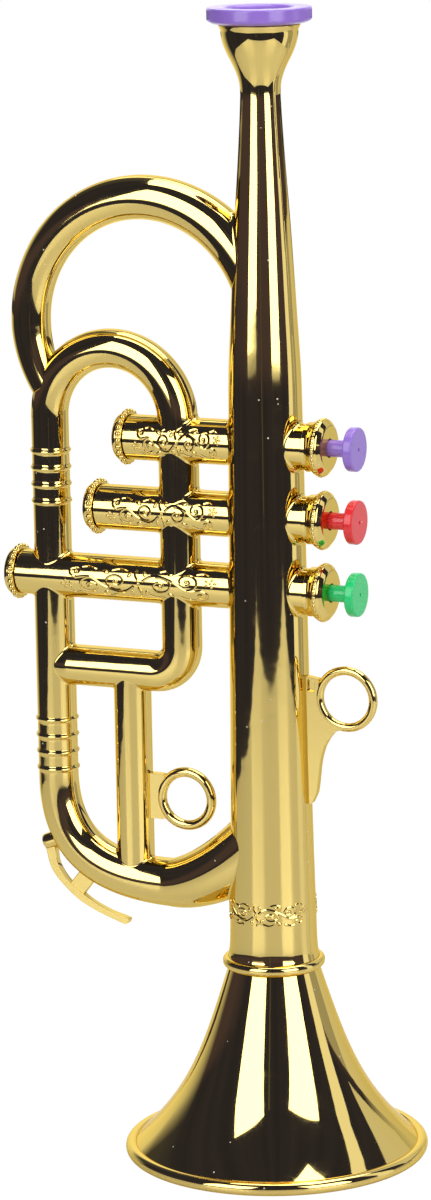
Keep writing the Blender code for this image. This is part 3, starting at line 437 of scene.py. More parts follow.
def loop_tube():
    """The large loop, which tapers from the main tube to the side tube."""
    angles = np.linspace(*LOOP_ANGLES, LOOP_POINTS)
    taper = np.clip((angles - LOOP_ANGLES[0]) / (LOOP_TAPER_ANGLE - LOOP_ANGLES[0]), 0, 1)
    reach = LOOP_RADIUS + LOOP_ROOT_RISE * (1 - taper)
    path = np.stack([LOOP_CENTRE[0] + reach * np.cos(np.radians(angles)), 0 * angles,
                     LOOP_CENTRE[1] + reach * np.sin(np.radians(angles))], axis=1)
    radii = LOOP_ROOT_RADIUS + (LOOP_TUBE_RADIUS - LOOP_ROOT_RADIUS) * taper
    last = angles[-LOOP_END_POINTS]
    narrowing = np.clip((angles - last) / (angles[-1] - last), 0, 1)
    return path, radii + (LOOP_END_RADIUS - LOOP_TUBE_RADIUS) * narrowing


def arch_tube():
    """Cross tube, elbow, inner tube and arch in one run."""
    start = SIDE_X + CROSS_NARROWING
    return joined([
        (line((SIDE_X, CROSS_Z), (start, CROSS_Z)), LOOP_END_RADIUS, CROSS_RADIUS),
        (line((start, CROSS_Z), (INNER_X - ELBOW, CROSS_Z)), CROSS_RADIUS, CROSS_RADIUS),
        (arc((INNER_X - ELBOW, CROSS_Z + ELBOW), ELBOW, -90, 0), CROSS_RADIUS, INNER_RADIUS),
        (line((INNER_X, CROSS_Z + ELBOW), (INNER_X, ARCH_Z)), INNER_RADIUS, INNER_RADIUS),
        (arc(((SIDE_X + INNER_X) / 2, ARCH_Z), (INNER_X - SIDE_X) / 2, 0, 180), INNER_RADIUS, SIDE_RADIUS)])


def side_tube():
    """The ribbed side tube and the lower bend that widens into the main tube."""
    heights = set(z for x, z in line((SIDE_X, ARCH_Z), BEND_TOP))
    heights.update(z + offset for z in RIB_Z for offset in np.linspace(-1, 1, RIB_POINTS) * RIB_HALF_WIDTH)
    heights = sorted((z for z in heights if z > BEND_TOP[1]), reverse=True)
    off_rib = [min(min(abs(z - rib) for rib in RIB_Z) / RIB_HALF_WIDTH, 1) for z in heights]
    swell = np.array([cos(share * pi / 2) for share in off_rib]) ** RIB_SHARPNESS
    lower, lower_radii = joined([
        (bend(BEND_TOP, BEND_DROP_HANDLE, BEND_LEFT_HANDLE, BEND_LOW, BEND_DROP_POINTS),
         SIDE_FOOT_RADIUS, BEND_LOW_RADIUS),
        (bend(BEND_LOW, BEND_RIGHT_HANDLE, BEND_RISE_HANDLE, BEND_END, BEND_RISE_POINTS),
         BEND_LOW_RADIUS, BEND_END_RADIUS)])
    upper = [(SIDE_X, 0, z) for z in heights]
    hidden = (VALVE_Z[2] - CASING_RADIUS / 2, VALVE_Z[2] + CASING_RADIUS / 2)
    plain = np.interp(heights, hidden, (SIDE_FOOT_RADIUS, SIDE_RADIUS))
    return np.concatenate([upper, lower]), np.concatenate([plain + RIB_HEIGHT * swell, lower_radii])


def clear_of(path, radii):
    """How far points lie outside a tube, as a function."""
    radii = np.broadcast_to(radii, len(path))
    starts, ends = path[:-1], path[1:]
    runs = ends - starts
    lengths = np.maximum((runs ** 2).sum(1), TINY)

    def distance(points):
        share = np.clip(((points[:, None] - starts) * runs).sum(2) / lengths, 0, 1)
        nearest = starts + share[..., None] * runs
        away = np.linalg.norm(points[:, None] - nearest, axis=2)
        return (away - (radii[:-1] + (radii[1:] - radii[:-1]) * share)).min(1)
    return distance


def fillet(path, radii, distance, radius=FILLET_RADIUS):
    """The rounded corner where a tube runs into another: a ball rolled round both, as a closed ring.

    The path starts clear of the other tube and ends inside it.
    """
    radii = np.broadcast_to(radii, len(path))
    along = np.concatenate([[0], np.cumsum(np.linalg.norm(np.diff(path, axis=0), axis=1))])
    ahead = unit(np.gradient(path, axis=0))
    angles = np.linspace(0, 2 * pi, FILLET_SIDES, endpoint=False)

    def ball(places):
        point, forward = (np.stack([np.interp(places, along, column) for column in rows.T], axis=1)
                          for rows in (path, ahead))
        side = np.broadcast_to([0.0, 1.0, 0.0], forward.shape)
        spread = np.cross(side, forward) * np.cos(angles)[:, None] + side * np.sin(angles)[:, None]
        return point + spread * (np.interp(places, along, radii) + radius)[:, None], spread

    near, far = np.zeros(FILLET_SIDES), np.full(FILLET_SIDES, along[-1])
    for _ in range(FILLET_HALVINGS):
        middle = (near + far) / 2
        clear = distance(ball(middle)[0]) > radius
        near, far = np.where(clear, middle, near), np.where(clear, far, middle)
    centres, spread = ball(near)
    rise = [distance(centres + probe) - distance(centres - probe) for probe in np.eye(3) * FILLET_PROBE]
    slope = unit(np.stack(rise, axis=1))
    shape = bmesh.new()
    rings = []
    for centre, own, other in zip(centres, spread, slope):
        centre, own, other = Vector(centre), Vector(own), Vector(other)
        ring = [shape.verts.new(centre - own.slerp(other, step / FILLET_STEPS) * radius)
                for step in range(FILLET_STEPS + 1)]
        ring.append(shape.verts.new(centre - (own + other).normalized() * radius * FILLET_DEPTH))
        rings.append(ring)
    for ring, following in zip(rings, rings[1:] + rings[:1]):
        for index in range(len(ring)):
            after = (index + 1) % len(ring)
            shape.faces.new((ring[index], ring[after], following[after], following[index]))
    return outward(shape)


def drill(start, end, radius):
    """A round cutter from one point to another."""
    return swept(np.linspace(start, end, 3), [radius] * 3, sides=40, across=(0, 0, 1))


def cut(shape, cutters):
    """A shape with each of the cutters taken out of it."""
    made = [in_scene("cutting", meshed(solid, "cutting")) for solid in (shape, *cutters)]
    for cutter in made[1:]:
        taken = made[0].modifiers.new("taken", "BOOLEAN")
        taken.operation, taken.solver, taken.object = "DIFFERENCE", "EXACT", cutter
    bpy.context.view_layer.update()
    result = bmesh.new()
    result.from_object(made[0], bpy.context.evaluated_depsgraph_get())
    for used in made:
        bpy.data.objects.remove(used, do_unlink=True)
    return result


def round_off(shape, edges, size, segments):
    """Round some of a shape's edges."""
    bmesh.ops.bevel(shape, geom=edges, offset=size, offset_type="OFFSET", segments=segments, profile=0.5,
                    affect="EDGES", material=-1, clamp_overlap=True)


def half(shape, front):
    """One side of a shape, closed and rounded at the seam."""
    shape = shape.copy()
    edge_y = SEAM_Y + (-SEAM_GAP / 2 if front else SEAM_GAP / 2)
    parted = bmesh.ops.bisect_plane(
        shape, geom=shape.verts[:] + shape.edges[:] + shape.faces[:], dist=CUT_DISTANCE,
        plane_co=(0, edge_y, 0), plane_no=(0, 1, 0), clear_outer=front, clear_inner=not front)["geom_cut"]
    seam = [item for item in parted if isinstance(item, bmesh.types.BMEdge)]
    if seam:
        bmesh.ops.edgeloop_fill(shape, edges=seam)
        round_off(shape, seam, SEAM_ROUNDING, segments=2)
    return outward(shape)


def add_to(whole, shape):
    """Put one shape into another."""
    mesh = meshed(shape, "added")
    whole.from_mesh(mesh)
    bpy.data.meshes.remove(mesh)


def make_piece(name, shape, finish, body, node, slot, sharp_angle=SHARP_ANGLE):
    """A finished piece of the trumpet: moved to the main tube's axis, smooth, and riding its body."""
    bmesh.ops.dissolve_degenerate(shape, dist=MERGE_DISTANCE, edges=shape.edges)
    bmesh.ops.translate(shape, verts=shape.verts, vec=(axis_x, 0, 0))
    mesh = meshed(shape, name)
    mesh.materials.append(finish)
    mesh.shade_smooth()
    mesh.set_sharp_from_angle(angle=radians(sharp_angle))
    piece = in_scene(name, mesh)
    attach(piece, body)
    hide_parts(node)
    return piece


def plated(node, shape, sharp_angle=SHARP_ANGLE):
    """A gold plated piece that stands for its node."""
    make_piece(f"{node}_plated", shape, gold, "body", node, "gold_plating", sharp_angle)


handled_surface = make_handled_surface()
gold = gold_plating()
tube_heights, tube_radii = flowing_radii(MAIN_TUBE, step=0.001, easing=3)
tube_radii += FOOT_FLARE * np.exp((FOOT_HEIGHT - tube_heights) / FOOT_FLARE_LENGTH)
tube_radii = np.minimum(tube_radii, np.where(tube_heights < MAIN_TUBE[2][0], FOOT_RADIUS, 1))
outer = list(zip(tube_radii, tube_heights))
bore = [(radius - WALL, height) for radius, height in reversed(outer[::BORE_STRIDE] + outer[-1:])]
outer = [point for point in outer if point[1] < CUP_LIP[0][1]] + list(CUP_LIP)
bore_radius = CASING_RADIUS - WALL
bores = [drill((-BARREL_END, 0, z), (BARREL_END, 0, z), bore_radius) for z in VALVE_Z]
sinks = [drill((x, SCREW_SEAT_Y - SCREW_SINK_DEPTH, z), (x, BARREL_END, z), SCREW_SINK_RADIUS)
         for x, z in SCREW_PLACES]
arch_path, arch_radii = arch_tube()
side_path, side_radii = side_tube()
loop_path, loop_radii = loop_tube()
strut = line((STRUT_X, CROSS_Z), (STRUT_X, BEND_LOW[1] + STRUT_DEPTH))
strut_path = np.array([(x, 0, z) for x, z in strut])
body_shapes = [cut(turned(outer + bore, sides=112), bores + sinks[:2]),
               swept(arch_path, arch_radii, LOOP_SIDES),
               swept(strut_path, [STRUT_RADIUS] * len(strut), LOOP_SIDES),
               cut(swept(loop_path, loop_radii, LOOP_SIDES), sinks[2:3]),
               cut(swept(side_path, side_radii, LOOP_SIDES), sinks[3:])]
for z, end in zip(VALVE_Z, CASING_ENDS):
    for first, last in ((end, -CASING_INNER_END), (CASING_INNER_END, BARREL_END)):
        casing = [(CASING_RADIUS, first), (CASING_RADIUS, last), (bore_radius, last), (bore_radius, first)]
        body_shapes.append(turned(casing, VALVE_SIDES, along_x_at=z))

# Rounded corners of the moulding, where each tube runs into the next
CASING_POINTS, CROSSING_POINTS, CROSSING_REACH, CROSS_REACH = 60, 40, 0.0112, 0.014
# The points of a path that lie near its corner
STRUT_TOP, LOOP_ROOT, LOWER_BEND, BEND_ROOT = 30, 40, 125, 48


def level_path(start, end, z, count):
    """Points of a level tube."""
    return np.array([(x, 0, z) for x in np.linspace(start, end, count)])


main_clear = clear_of(np.array([(0, 0, z) for z in tube_heights]), tube_radii)
for z, end in zip(VALVE_Z, CASING_ENDS):
    casing, barrel = (level_path(x, 0, z, CASING_POINTS) for x in (end, BARREL_END))
    body_shapes += [fillet(casing, CASING_RADIUS, main_clear), fillet(barrel, CASING_RADIUS, main_clear)]
    casing_clear = clear_of(casing, CASING_RADIUS)
    for step, side_size in ((1, SIDE_RADIUS), (-1, SIDE_FOOT_RADIUS)):
        crossings = [(INNER_X, INNER_RADIUS)] + ([(SIDE_X, side_size)] if end < SIDE_X else [])
        for x, size in crossings:
            crossing = np.array([(x, 0, z + step * offset)
                                 for offset in np.linspace(CROSSING_REACH, 0, CROSSING_POINTS)])
            body_shapes.append(fillet(crossing, size, casing_clear))
cross_path = level_path(SIDE_X + CROSS_REACH, SIDE_X, CROSS_Z, CROSSING_POINTS)
cross_radii = np.interp(cross_path[:, 0], [SIDE_X, SIDE_X + CROSS_NARROWING], [LOOP_END_RADIUS, CROSS_RADIUS])
side_clear = clear_of(np.array([(SIDE_X, 0, BEND_TOP[1]), (SIDE_X, 0, VALVE_Z[2])]), SIDE_FOOT_RADIUS)
cross_clear = clear_of(np.array([(SIDE_X, 0, CROSS_Z), (INNER_X - ELBOW, 0, CROSS_Z)]), CROSS_RADIUS)
bend_clear = clear_of(side_path[-LOWER_BEND:], side_radii[-LOWER_BEND:])
for path, radii, clear, radius in (
        (cross_path, cross_radii, side_clear, 0.0008),
        (strut_path[:STRUT_TOP][::-1], STRUT_RADIUS, cross_clear, 0.0008),
        (strut_path[STRUT_TOP:], STRUT_RADIUS, bend_clear, 0.0006),
        (loop_path[:LOOP_ROOT][::-1], loop_radii[:LOOP_ROOT][::-1], main_clear, 0.0012),
        (side_path[-BEND_ROOT:], side_radii[-BEND_ROOT:], main_clear, 0.001)):
    body_shapes.append(fillet(path, radii, clear, radius))

# Scrollwork moulded on the casings and on the foot of the main tube, the same motif on both halves.
# Its sizes are in millimetres, along the tube and round it.
STRAND_RADIUS, STRAND_TIP_RADIUS, STRAND_SINK = 0.00056, 0.00042, 0.00022
STEM = ((0.9, 0.8), (3.4, 2.7), (7.2, 1.3), (10.4, -1.1), (13.6, -0.7))
# Each curl's middle, reach, first angle and turns
CURLS = ((4.7, -0.3, 2.6, 112, -1.45), (10.3, 1.5, 2.6, -90, 1.4), (13.5, -2.5, 1.6, 95, -1.2))
CURL_CLOSING, CURL_EYE = 0.82, 0.75
# Each leaf's middle, angle and length
LEAVES = ((7.0, -2.9, -25, 1.5), (1.9, -2.4, 62, 1.2), (6.9, 3.4, 15, 1.3), (1.3, 3.0, 100, 1.1))
LEAF_WIDTH, LEAF_RISE, LEAF_PROBE, MIDDLE_SIZE = 0.75, 0.52, 0.1, 0.7
ROSETTE, ROSETTE_REACH, PETALS, PETAL_LENGTH, PETAL_WIDTH = (15.4, 1.5), 1.0, 5, 0.72, 0.5
STROKES = (
    ((2.3, -3.4), (4.1, -4.3), (5.7, -3.5)), ((9.0, -3.3), (10.8, -4.4), (12.2, -4.0)),
    ((4.6, 3.9), (6.0, 4.6), (7.6, 4.2)), ((12.4, 3.9), (13.7, 4.4), (14.9, 3.6)),
    ((0.0, -1.0), (0.9, -2.6), (0.3, -4.1)))
STROKE_POINTS = 10
MOTIF_X, MOTIF_STRETCH, MOTIF_REACH = (-0.028, -0.0337, -0.0425), (0.915, 1.165, 1.65), 1.1
BAND_Z, BAND_SCALE = 0.082, (1.06, 0.8)
MM = 0.001


def on_casing(height, middle, stretch, side):
    """Where a point of the motif lies on a casing, and its normal."""
    def place(along, around):
        angle = around * MOTIF_REACH * MM / CASING_RADIUS
        out = Vector((0, side * cos(angle), sin(angle)))
        foot = Vector((middle + along * stretch * MM, 0, height))
        return foot + out * (CASING_RADIUS - STRAND_SINK), out
    return place


def on_main_tube(side):
    """The same for the band on the foot of the main tube."""
    def place(along, around):
        z = BAND_Z + around * BAND_SCALE[1] * MM
        radius = float(np.interp(z, tube_heights, tube_radii))
        angle = along * BAND_SCALE[0] * MM / radius
        out = Vector((sin(angle), side * cos(angle), 0))
        return Vector((0, 0, z)) + out * (radius - STRAND_SINK), out
    return place


def eased_run(before, start, end, after, count):
    """Points from start to end of a smooth curve through all four."""
    leave, arrive = start + (end - before) / 6, end - (after - start) / 6
    return geometry.interpolate_bezier(start, leave, arrive, end, count)


def strand(shape, place, points, tip_radius=STRAND_TIP_RADIUS):
    """A raised strand of the motif, thinner towards its tip."""
    spots, outs = zip(*[place(*point[:2]) for point in points])
    radii = np.linspace(STRAND_RADIUS, tip_radius, len(spots))
    add_to(shape, swept(spots, radii, sides=8, across=outs))


def leaf(shape, place, along, around, turn, length, width):
    """A raised leaf, petal or dot of the motif."""
    spot, out = place(along, around)
    ahead = (place(*polar(along, around, LEAF_PROBE, radians(turn)))[0] - spot).normalized()
    columns = [axis * size * MM
               for axis, size in ((ahead, length), (out.cross(ahead), width), (out, LEAF_RISE))]
    matrix = Matrix.Translation(spot) @ Matrix(columns).transposed().to_4x4()
    bmesh.ops.create_icosphere(shape, subdivisions=2, radius=1, matrix=matrix)


def motif(shape, place):
    """Stems that wind out from the middle to both sides, with curls, leaves and a rosette at each end."""
    for sign in (1, -1):
        def here(along, around, sign=sign):
            return place(sign * along, sign * around)
        knots = [Vector((*knot, 0)) for knot in STEM]
        for index in range(len(knots) - 1):
            nearby = [knots[min(max(index + step, 0), len(knots) - 1)] for step in (-1, 0, 1, 2)]
            strand(shape, here, eased_run(*nearby, count=8), STRAND_RADIUS)
        for along, around, reach, start, turns in CURLS:
            wind = [(radians(start + turns * 360 * share), reach * (1 - CURL_CLOSING * share))
                    for share in np.linspace(0, 1, num=30)]
            strand(shape, here, [polar(along, around, r, a) for a, r in wind])
            leaf(shape, here, along, around, 0, CURL_EYE, CURL_EYE)
        for stroke in STROKES:
            first, handle, last = (Vector((*point, 0)) for point in stroke)
            strand(shape, here, geometry.interpolate_bezier(first, handle, handle, last, STROKE_POINTS))
        for along, around, turn, length in LEAVES:
            leaf(shape, here, along, around, turn, length, LEAF_WIDTH)
        for petal in range(PETALS):
            turn = 360 * petal / PETALS
            spot = polar(*ROSETTE, ROSETTE_REACH, radians(turn))
            leaf(shape, here, *spot, turn, PETAL_LENGTH, PETAL_WIDTH)
        leaf(shape, here, *ROSETTE, 0, PETAL_WIDTH, PETAL_WIDTH)
    leaf(shape, place, 0, 0, 0, MIDDLE_SIZE, MIDDLE_SIZE)


for name, side in (("body_front_shell", -1), ("body_back_shell", 1)):
    shell = bmesh.new()
    for shape in body_shapes:
        add_to(shell, half(shape, front=side < 0))
    scrolls = bmesh.new()
    for z, middle, stretch in zip(VALVE_Z, MOTIF_X, MOTIF_STRETCH):
        motif(scrolls, on_casing(z, middle, stretch, side))
    motif(scrolls, on_main_tube(side))
    add_to(shell, outward(scrolls))
    plated(name, shell)
for shape in body_shapes:
    shape.free()


# Bell
# A thin flared horn of plated plastic with a rolled rim, pushed into the foot of the main tube.
BELL_HEIGHT, BELL_RADIUS, BELL_NECK_RADIUS = 0.062, 0.0492, 0.0148
STRAIGHT_SHARE, FLARE_POWER, BELL_LIP = 0.585, 3.8, 0.0026
BELL_END, BELL_CROWDING, BELL_WALL = 0.004, 0.8, 0.0016
BEAD_RADIUS, BEAD_OVERLAP, BEAD_ANGLES = 0.0022, 0.8, (118, -170)
SPIGOT_RADIUS, SPIGOT_TOP = 0.0124, 0.074
heights = BELL_HEIGHT - (BELL_HEIGHT - BELL_END) * np.linspace(0, 1, num=90) ** BELL_CROWDING
fall = (BELL_HEIGHT - heights) / (BELL_HEIGHT - BELL_LIP)
share = STRAIGHT_SHARE * fall + (1 - STRAIGHT_SHARE) * fall ** FLARE_POWER
rim_reach = BELL_RADIUS - BEAD_RADIUS * BEAD_OVERLAP
outside = list(zip(BELL_NECK_RADIUS + (rim_reach - BELL_NECK_RADIUS) * share, heights))
bead = [polar(BELL_RADIUS - BEAD_RADIUS, BEAD_RADIUS, BEAD_RADIUS, a)
        for a in np.radians(np.linspace(*BEAD_ANGLES, num=28))]
inside = []
for (r0, z0), (r1, z1) in zip(outside, outside[1:]):
    across = Vector((z1 - z0, r0 - r1)).normalized() * BELL_WALL
    inside.append(((r0 + r1) / 2 + across.x, (z0 + z1) / 2 + across.y))
inside = [point for point in reversed(inside) if point[1] > BEAD_RADIUS]
spigot_bore = SPIGOT_RADIUS - BELL_WALL
bell_profile = [(SPIGOT_RADIUS, SPIGOT_TOP), (SPIGOT_RADIUS, BELL_HEIGHT), *outside, *bead,
                *inside, (spigot_bore, BELL_HEIGHT - BELL_WALL), (spigot_bore, SPIGOT_TOP)]
plated("bell", turned(bell_profile, sides=192))


# Bell collar
# A plated ring that covers the joint of the main tube and the bell.
COLLAR_LOW, COLLAR_HIGH, COLLAR_BORE, COLLAR_RADIUS, COLLAR_BULGE = 0.0623, 0.0657, 0.0149, 0.01655, 0.00145
collar_middle, collar_rise = (COLLAR_LOW + COLLAR_HIGH) / 2, (COLLAR_HIGH - COLLAR_LOW) / 2
collar_round = [(COLLAR_RADIUS - COLLAR_BULGE + COLLAR_BULGE * cos(a), collar_middle + collar_rise * sin(a))
                for a in np.radians(np.linspace(90, -90, num=19))]
collar_profile = [*collar_round, (COLLAR_BORE, COLLAR_LOW), (COLLAR_BORE, COLLAR_HIGH)]
plated("bell_collar", turned(collar_profile, sides=128))


# Mouthpiece rim
# A glossy purple plastic ring pressed on the cup.
PURPLE, PLASTIC_DUST = (0.33, 0.19, 0.68, 1), (0.8, 0.78, 0.75, 1)
# The corners of a section: radius, place along the axis, and how far the corner is rounded
RIM_SECTION = (
    (0.0105, 0.37, 0.0012), (0.0164, 0.37, 0.0007), (0.0164, 0.3659, 0.0006), (0.0146, 0.365, 0.0005),
    (0.0098, 0.365, 0), (0.0098, 0.362, 0), (0.0085, 0.362, 0), (0.0085, 0.365, 0.0015))
GUARD = 0.00008


def rounded(section, steps=5):
    """An outline with each corner rounded by its own size; a guard beside it keeps flat faces flat."""
    outline = []
    corners = [Vector(corner[:2]) for corner in section]
    for index, here in enumerate(corners):
        size = section[index][2]
        if size == 0:
            outline.append(tuple(here))
            continue
        back = (corners[index - 1] - here).normalized()
        ahead = (corners[(index + 1) % len(corners)] - here).normalized()
        first, second = here + back * size, here + ahead * size
        outline.append(tuple(first + back * GUARD))
        for step in range(steps + 1):
            t = step / steps
            outline.append(tuple(first * (1 - t) ** 2 + here * 2 * t * (1 - t) + second * t * t))
        outline.append(tuple(second + ahead * GUARD))
    return outline


def coloured_plastic(name, colour):
    """Glossy moulded plastic with smears, dust and ripples from the mould."""
    made, tree = new_material(name)
    surface = handled(tree, roughness=0.17, smears=0.12, dust=0.012)
    feed(tree, tree.nodes["Principled BSDF"], {
        "Base Color": mixed(tree, surface["Dust"], colour, PLASTIC_DUST), "Roughness": surface["Roughness"],
        "Normal": bumped(tree, surface["Height"], strength=0.05, distance=RIPPLE_DEPTH)})
    return made


purple = coloured_plastic("purple_plastic", PURPLE)
make_piece("mouthpiece_rim_purple", turned(rounded(RIM_SECTION), sides=128), purple, "body", "mouthpiece_rim",
           "purple_plastic")


# Valve caps
# Plated caps with a bulged, beaded rim, pressed over the right ends of the casings.
CAP_SECTION = (
    (0.003, 0.022, 0.0003), (0.0072, 0.022, 0.0006), (0.0092, 0.0204, 0.0005), (0.0092, 0.0187, 0.0006),
    (0.0079, 0.0168, 0.0006), (0.0079, 0.015, 0.0001), (0.0076, 0.015, 0), (0.0076, 0.0178, 0),
    (0.003, 0.0178, 0))
# A ring of beads: count, radius, distance from the axis and place along it
CAP_BEADS = (40, 0.00085, 0.0086, 0.0195)


def beaded(section, beads, z, start=0):
    """A cap on a valve's axis with a ring of beads, both placed from start."""
    section = [(radius, start + x, rounding) for radius, x, rounding in section]
    shape = turned(rounded(section), VALVE_SIDES, along_x_at=z)
    count, radius, reach, x = beads
    for bead in range(count):
        spot = Vector((start + x, *polar(0, z, reach, 2 * pi * bead / count)))
        bmesh.ops.create_icosphere(shape, subdivisions=2, radius=radius, matrix=Matrix.Translation(spot))
    return shape


for number, z in enumerate(VALVE_Z, 1):
    plated(f"valve_cap_{number}", beaded(CAP_SECTION, CAP_BEADS, z))


# Casing caps
# Plated discs with a beaded rim and a domed face, plugged into the left ends of the casings.
CASING_CAP_SECTION = (
    (0, 0.004, 0), (0.0055, 0.004, 0), (0.0055, -0.0003, 0), (0.008155, -0.0003, 0.0004),
    (0.008155, -0.0024, 0.0004), (0.0076, -0.0024, 0), (0.0076, -0.0042, 0.0014), (0, -0.0042, 0))
CASING_CAP_BEADS = (24, 0.00105, 0.00805, -0.00135)
for number, (z, end) in enumerate(zip(VALVE_Z, CASING_ENDS), 1):
    plated(f"casing_cap_{number}", beaded(CASING_CAP_SECTION, CASING_CAP_BEADS, z, start=end))


# Buttons
# Coloured plastic buttons with their stems, flanges and rods in one moulding.
RED, GREEN = (0.86, 0.034, 0.042, 1), (0.025, 0.68, 0.2, 1)
BUTTON_SECTION = (
    (0, 0.03085, 0), (0.0004, 0.03095, 0.0001), (0.0006, 0.03175, 0.0001), (0.007, 0.03175, 0.0006),
    (0.007, 0.0288, 0.0006), (0.0027, 0.0288, 0.0004), (0.0027, 0.0169, 0), (0.00535, 0.0169, 0.0003),
    (0.00535, 0.0153, 0.0003), (0.0016, 0.0153, 0), (0.0016, -0.008, 0.0003), (0, -0.008, 0))
red = coloured_plastic("red_plastic", RED)
green = coloured_plastic("green_plastic", GREEN)
button_finishes = ((purple, "purple_plastic"), (red, "red_plastic"), (green, "green_plastic"))
for number, (z, (finish, slot)) in enumerate(zip(VALVE_Z, button_finishes), 1):
    button = turned(rounded(BUTTON_SECTION), sides=64, along_x_at=z)
    make_piece(f"valve_button_{number}_moulded", button, finish, f"button_{number}", f"valve_button_{number}",
               slot)


# Finger hook and slide ring
# Flat plated mouldings in the main plane, each a ring of round wire on a plate with rounded edges,
# glued in slots of the main tube and of the strut.
PLATE_HALF_THICKNESS, PLATE_ROUNDING, PLATE_CORNER, PLATE_SHARP_ANGLE = 0.0013, 0.0005, 0.0006, 60
HOOK_RING, HOOK_RING_RADIUS, HOOK_WIRE = (0.0265, 0.1522), 0.0092, 0.0014
HOOK_OUTLINE = (
    (0.0095, 0.1594), (0.0176, 0.1582), (0.0172, 0.152), (0.0196, 0.146), (0.0263, 0.1428),
    (0.0226, 0.1413), (0.0206, 0.1389), (0.019, 0.1361), (0.0179, 0.1326), (0.0173, 0.1292),
    (0.0168, 0.1246), (0.0162, 0.1208), (0.0145, 0.1172), (0.0095, 0.1172))
# The recess by the hook's ring, and the thin web that closes it
HOOK_EYE = ((0.0136, 0.1581), (0.0136, 0.1541), (0.0158, 0.1539), (0.0163, 0.1577))
EYE_CORNER, HOOK_WEB_HALF_THICKNESS, HOOK_WEB_ROUNDING = 0.0005, 0.0003, 0.0001
SLIDE_RING, SLIDE_RING_RADIUS, SLIDE_WIRE = (-0.03, 0.1148), 0.0088, 0.0016
SLIDE_OUTLINE = (
    (-0.047, 0.1225), (-0.0376, 0.1225), (-0.0367, 0.1206), (-0.0388, 0.1148), (-0.0367, 0.109),
    (-0.0374, 0.1075), (-0.047, 0.1075))
RIM_TURN, FLAT = 1, 0.9999


def wire_ring(centre, radius, wire):
    """A closed ring of round wire in the main plane."""
    shape = bmesh.new()
    bmesh.ops.create_circle(shape, radius=wire, segments=28, matrix=Matrix.Translation((radius, 0, 0)))
    bmesh.ops.spin(shape, geom=shape.verts[:] + shape.edges[:], cent=(0, 0, 0), axis=(0, 1, 0),
                   angle=2 * pi, steps=96, use_merge=True)
    bmesh.ops.remove_doubles(shape, verts=shape.verts, dist=MERGE_DISTANCE)
    bmesh.ops.translate(shape, verts=shape.verts, vec=(centre[0], 0, centre[1]))
    return outward(shape)


def flat_moulding(outline, half_thickness, rounding, holes=()):
    """A plate in the main plane out of (x, z) outlines, with rounded edges."""
    shape = bmesh.new()
    edges = []
    for loop in (outline, *holes):
        corners = [shape.verts.new((x, -half_thickness, z)) for x, z in loop]
        edges += [shape.edges.new(pair) for pair in zip(corners, corners[1:] + corners[:1])]
    bmesh.ops.triangle_fill(shape, use_beauty=True, use_dissolve=False, edges=edges)
    grown = bmesh.ops.extrude_face_region(shape, geom=shape.faces[:])["geom"]
    bmesh.ops.translate(shape, verts=[item for item in grown if isinstance(item, bmesh.types.BMVert)],
                        vec=(0, 2 * half_thickness, 0))
    outward(shape)
    rims = [edge for edge in shape.edges if abs(edge.verts[0].co.y - edge.verts[1].co.y) < half_thickness
            and edge.calc_face_angle(0) > RIM_TURN]
    round_off(shape, rims, rounding, segments=4)
    outward(shape)
    flats = [face for face in shape.faces if abs(face.normal.y) > FLAT]
    bmesh.ops.inset_region(shape, faces=flats, thickness=GUARD, use_boundary=True, use_even_offset=True)
    return shape


def soft_cornered(outline, rounding):
    """An outline with all its corners rounded alike."""
    return rounded([(x, z, rounding) for x, z in outline], steps=4)


hook = flat_moulding(soft_cornered(HOOK_OUTLINE, PLATE_CORNER), PLATE_HALF_THICKNESS, PLATE_ROUNDING,
                     [soft_cornered(HOOK_EYE, EYE_CORNER)])
add_to(hook, flat_moulding(HOOK_EYE, HOOK_WEB_HALF_THICKNESS, HOOK_WEB_ROUNDING))
add_to(hook, wire_ring(HOOK_RING, HOOK_RING_RADIUS, HOOK_WIRE))
plated("finger_hook", hook, PLATE_SHARP_ANGLE)
slide = flat_moulding(soft_cornered(SLIDE_OUTLINE, PLATE_CORNER), PLATE_HALF_THICKNESS, PLATE_ROUNDING)
add_to(slide, wire_ring(SLIDE_RING, SLIDE_RING_RADIUS, SLIDE_WIRE))
plated("slide_ring", slide, PLATE_SHARP_ANGLE)


# Water key
# A plated moulding under the lower bend: a stub out of the bend, a flat curved arm with a rounded tip,
# and a web that ties the arm to the bend.
KEY_STUB, KEY_STUB_RADIUS = ((-0.0735, 0.0987), (-0.0822, 0.0955)), 0.0026
KEY_STUB_POWERS, KEY_STUB_LIMIT = (6, 1 / 3), 0.995
KEY_ARM = (
    (-0.0812, 0.0962), (-0.0805, 0.092), (-0.0789, 0.0868), (-0.0748, 0.0819), (-0.0693, 0.0774),
    (-0.0629, 0.0742), (-0.0566, 0.0719), (-0.0527, 0.0707), (-0.0514, 0.0717), (-0.0518, 0.0728),
    (-0.058, 0.0745), (-0.0642, 0.0772), (-0.0684, 0.08), (-0.0732, 0.0837), (-0.0767, 0.0889),
    (-0.0778, 0.0945))
KEY_WEB = ((-0.0655, 0.0915), (-0.0605, 0.0885), (-0.068, 0.0788), (-0.0726, 0.0825))
KEY_HALF_THICKNESS, KEY_ROUNDING = 0.0012, 0.0004
KEY_WEB_HALF_THICKNESS, KEY_WEB_ROUNDING = 0.001, 0.0002
arm_outline = []
knots = [Vector((x, 0, z)) for x, z in KEY_ARM]
for index in range(len(knots)):
    nearby = [knots[(index + step) % len(knots)] for step in (-1, 0, 1, 2)]
    arm_outline += [(point.x, point.z) for point in eased_run(*nearby, count=7)[:-1]]
water_key = flat_moulding(arm_outline, KEY_HALF_THICKNESS, KEY_ROUNDING)
add_to(water_key, flat_moulding(KEY_WEB, KEY_WEB_HALF_THICKNESS, KEY_WEB_ROUNDING))
